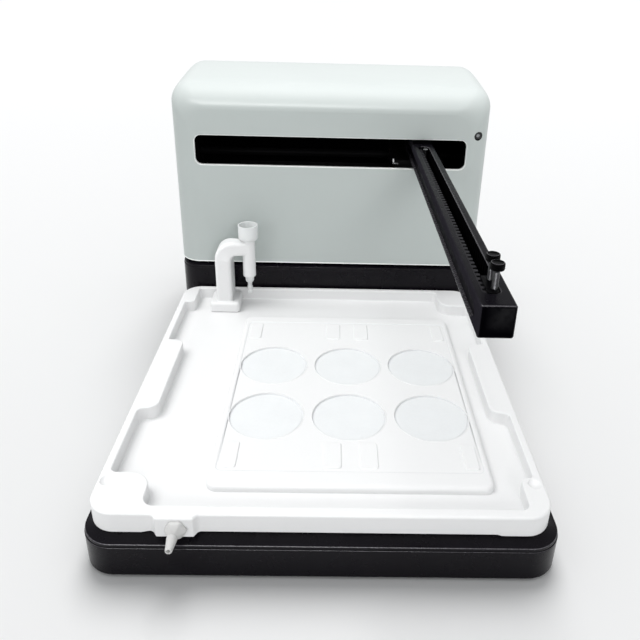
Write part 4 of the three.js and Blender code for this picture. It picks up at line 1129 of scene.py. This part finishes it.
# ------------------------------------------------------------------ rinse station
def station():
    # foot
    q = Build()
    f = rrect(-109.5, -82.0, 263.0, 290.5, 3.2)
    rows = [(0.6, 32.8), (0.15, 32.95), (0, 33.4), (0, 39.6)] + [(2.6 * (1 - math.cos(math.radians(15 * i))), 39.6 + 2.9 * math.sin(math.radians(15 * i))) for i in range(1, 7)]
    rs = q.rings([at_z(outline(f, 6, d), z) for d, z in rows])
    q.cap(rs[0]); q.cap(rs[-1])
    foot = q.obj("foot")
    # post, arch and crossbar: rounded section swept round the bend
    X0, X1 = -103.2, -88.7
    path = []   # (outer point, inner point, y0, y1)
    for z in (41, 46, 52, 60, 68, 76, 81.0):
        path.append(((X0, z), (X1, z), 266.0, 290.0))
    ro, ri = 15.0, 3.6
    oc, ic = (X0 + ro, 99.3 - ro), (X1 + ri, 86.2 - ri)
    for i in range(0, 11):
        a = math.radians(180 - 9 * i)
        t = i / 10
        path.append(((oc[0] + ro * math.cos(a), oc[1] + ro * math.sin(a)), (ic[0] + ri * math.cos(a), ic[1] + ri * math.sin(a)), 266.0 + 3.2 * t, 290.0 - 5.2 * t))
    for i in range(1, 7):
        t = i / 6
        xo = oc[0] + (-73.2 - oc[0]) * t
        xi = ic[0] + (-73.2 - ic[0]) * t
        path.append(((xo, 99.3), (xi, 86.2), 269.2 + 2.0 * t, 284.8 - 2.0 * t))
    q = Build()
    rows = []
    for (ox, oz), (ix, iz), ya, yb in path:
        pts = outline([(0, ya, 3.0), (1, ya, 3.0), (1, yb, 3.0), (0, yb, 3.0)], 5) if False else None
        L = math.hypot(ix - ox, iz - oz)
        sec = outline(rrect(0, L, ya, yb, min(3.0, L * 0.3)), 5)
        rows.append([(ox + (ix - ox) * u / L, v, oz + (iz - oz) * u / L) for u, v in sec])
    rs = q.rings(rows)
    q.cap(rs[0]); q.cap(rs[-1])
    post = q.obj("post")
    spout = turned("spout", [(0, 64.4), (5.3, 64.4), (5.7, 64.7), (5.85, 65.2), (5.85, 98.6), (5.6, 99.8), (5.2, 100.6), (4.6, 100.9), (0, 100.9)], -73.2, 277, 48)
    boolean(post, foot, "UNION")
    boolean(post, spout, "UNION")
    post.name = "rinse_post"
    m = post.modifiers.new("r", "REMESH")
    m.mode = "VOXEL"
    m.voxel_size = 0.00042
    m.adaptivity = 0
    s = post.modifiers.new("s", "SMOOTH")
    s.factor = 0.5
    s.iterations = 7
    settle(post)
    boolean(post, turned("t", [(0, 60), (2.4, 60), (2.4, 104), (0, 104)], -73.2, 277, 24))
    smooth(post, 60, False)
    dress(post, "white", "station", ["station_post"])

    cup = turned("rinse_cup_body", [(1.5, 101.25), (6.9, 101.25), (8.2, 101.45), (8.75, 101.9), (8.95, 102.7), (8.95, 113.6), (9.0, 114.4), (8.9, 114.85), (8.55, 115.0),
                                    (8.1, 114.9), (7.85, 114.5), (7.75, 113.8), (7.75, 104.2), (7.5, 103.2), (6.9, 102.75), (1.5, 102.6)], -73.2, 277, 64, closed=True)
    smooth(cup, 45)
    dress(cup, "clear", "station", ["rinse_cup"])
    prof = [(1.2, 48.0), (1.75, 48.05), (2.05, 48.4), (2.6, 51.0), (2.62, 51.3), (2.0, 51.6), (2.0, 51.9), (2.6, 54.4), (2.62, 54.7), (2.0, 55.0), (2.0, 58.4), (2.3, 59.2), (3.4, 60.1),
            (3.8, 61.0), (3.95, 62.6), (3.9, 64.4), (3.85, 65.2), (2.1, 65.2), (2.1, 84.0), (1.2, 84.0)]
    barb = turned("rinse_hose_barb", [(r, h - 1.1) for r, h in prof], -73.2, 277, 40, closed=True)
    smooth(barb, 40)
    dress(barb, "clear", "station", ["rinse_barb"])


station()


# ------------------------------------------------------------------ carried-over CAD nodes
def keep(node, mat, width=0.3, seg=2, angle=35, smooth_angle=40):
    o = frame["nodes"][node]
    o.data.materials.clear()
    o.data.materials.append(M[mat])
    if width:
        bevel(o, width, seg, angle)
    w = o.modifiers.new("normals", "WEIGHTED_NORMAL")
    w.mode = "FACE_AREA"
    w.keep_sharp = True


for node, mat, w in [
    ("bottom_plate", "zinc", 0.25), ("foot_front_left", "rubber", 0), ("foot_front_right", "rubber", 0), ("foot_rear_left", "rubber", 0),
    ("foot_rear_right", "rubber", 0), ("power_supply", "zinc", 0.6), ("rear_panel", "black_plastic", 0.25), ("power_inlet", "black_plastic", 0.3),
    ("power_switch_frame", "black_plastic", 0.3), ("power_switch_rocker", "black_plastic", 0.35), ("serial_connector", "zinc", 0.15), ("io_connector", "zinc", 0.15),
    ("chassis_frame", "dark_steel", 0.25), ("guide_rod_front", "dark_steel", 0), ("guide_rod_rear", "dark_steel", 0), ("x_motor", "motor", 0.3),
    ("x_idler_pin", "steel", 0), ("x_drive_pulley", "alu", 0), ("x_idler_pulley", "alu", 0), ("x_belt", "belt", 0), ("control_board", "board", 0),
    ("home_sensor", "black_plastic", 0.2), ("x_carriage", "dark_steel", 0.4), ("bushing_front", "bronze", 0), ("bushing_rear", "bronze", 0),
    ("belt_clamp", "dark_steel", 0.2), ("y_motor", "motor", 0.3), ("y_idler_pin", "steel", 0), ("y_idler_pulley", "alu", 0), ("y_drive_pulley", "alu", 0),
]:
    keep(node, mat, w)


# ------------------------------------------------------------------ floor and light
def stage():
    s = 14.0
    me = bpy.data.meshes.new("floor")
    me.from_pydata([(-s, -6, 0), (s, -6, 0), (s, 30, 0), (-s, 30, 0)], [], [(0, 1, 2, 3)])
    o = bpy.data.objects.new("floor", me)
    bpy.context.scene.collection.objects.link(o)
    m, nt, p, co = new_mat("pale_floor")
    sep = nt.nodes.new("ShaderNodeSeparateXYZ")
    nt.links.new(co.outputs["Object"], sep.inputs[0])
    # floor colour darker near the camera, lighter far off, and a hair darker down the middle: a painted falloff of
    # light across the floor
    g = mapr(nt, sep.outputs["Y"], -0.35, 1.4, 0.0, 1.0)
    r = ramp(nt, g.outputs["Result"], [(0.0, (0.845, 0.845, 0.845)), (0.14, (0.885, 0.885, 0.885)), (0.25, (0.912, 0.912, 0.912)), (0.55, (0.945, 0.945, 0.945)), (1.0, (0.985, 0.985, 0.985))])
    gx = mapr(nt, sep.outputs["X"], -0.5, 0.5, 0.0, 1.0)
    rx = ramp(nt, gx.outputs["Result"], [(0.0, (1.0, 1.0, 1.0)), (0.5, (0.99, 0.99, 0.99)), (1.0, (1.0, 1.0, 1.0))])
    nt.links.new(mix(nt, 1.0, r.outputs["Color"], rx.outputs["Color"], "MULTIPLY"), p.inputs["Base Color"])
    p.inputs["Roughness"].default_value = 0.9
    p.inputs["Specular IOR Level"].default_value = 0.05
    me.materials.append(m)

    w = bpy.data.worlds.new("studio")
    bpy.context.scene.world = w
    w.use_nodes = True
    bg = w.node_tree.nodes["Background"]
    bg.inputs["Color"].default_value = (0.975, 0.99, 1.0, 1)
    bg.inputs["Strength"].default_value = 0.55

    def lamp(name, kind, pos, target, power, color=(1, 1, 1), size=1.0, size_y=None, angle=None):
        l = bpy.data.lights.new(name, kind)
        l.energy = power
        l.color = color
        if kind == "AREA":
            l.shape = "RECTANGLE"
            l.size = size
            l.size_y = size_y or size
        if angle:
            l.angle = math.radians(angle)
        ob = bpy.data.objects.new(name, l)
        bpy.context.scene.collection.objects.link(ob)
        d = Vector(target) - Vector(pos)
        ob.location = pos
        ob.rotation_euler = d.to_track_quat("-Z", "Y").to_euler()
        return ob

    def only(ob, include, *more):
        """the light reaches either the named things alone or everything but them"""
        c = bpy.data.collections.new(ob.name + "_receivers")
        for x in (o,) + more:
            c.objects.link(x)
        ob.light_linking.receiver_collection = c
        if not include:
            for x in c.collection_objects:
                x.light_linking.link_state = "EXCLUDE"
    cover = next(x for x in bpy.data.objects if x.name.startswith("housing_body"))

    # broad light from behind for the floor, which draws the soft shadow in front of the base
    only(lamp("backdrop", "SUN", (0.0, 0.78, 1.5), (0, 0, 0), 1.76, angle=34), True)
    # broad overhead light on the instrument
    l = lamp("overhead", "SUN", (-0.10, 0.12, 1.5), (0, 0, 0), 1.0, angle=40)
    l.visible_glossy = False
    only(l, False)
    # broad light from straight above on the cover
    l = lamp("crown", "SUN", (0.0, 0.1, 1.5), (0, 0, 0), 3.05, color=(1.0, 0.95, 0.97), angle=30)
    l.visible_glossy = False
    c = bpy.data.collections.new("crown_receivers")
    c.objects.link(cover)
    l.light_linking.receiver_collection = c
    # soft box above, left of the middle
    l = lamp("key", "AREA", (-0.55, -0.12, 0.88), (-0.02, 0, 0.05), 4.8, size=0.5)
    l.visible_glossy = False
    only(l, False, cover)
    # low fill from the front
    for name, x, power in (("fill_right", 0.33, 3.3), ("fill_left", -0.75, 2.0)):
        l = lamp(name, "AREA", (x, -1.30, 0.62), (0, 0.05, 0.12), power, size=0.32)
        l.visible_glossy = False
        only(l, False)
    # narrow box in front that only shows in the edges
    l = lamp("front", "AREA", (-0.30, -1.15, 1.10), (0, 0, 0.1), 16.0, size=1.1, size_y=0.12)
    l.visible_diffuse = False
    v = bpy.context.scene.view_settings
    v.view_transform = "Standard"
    v.look = "None"
    v.exposure = 0.0
    v.gamma = 1.0


stage()
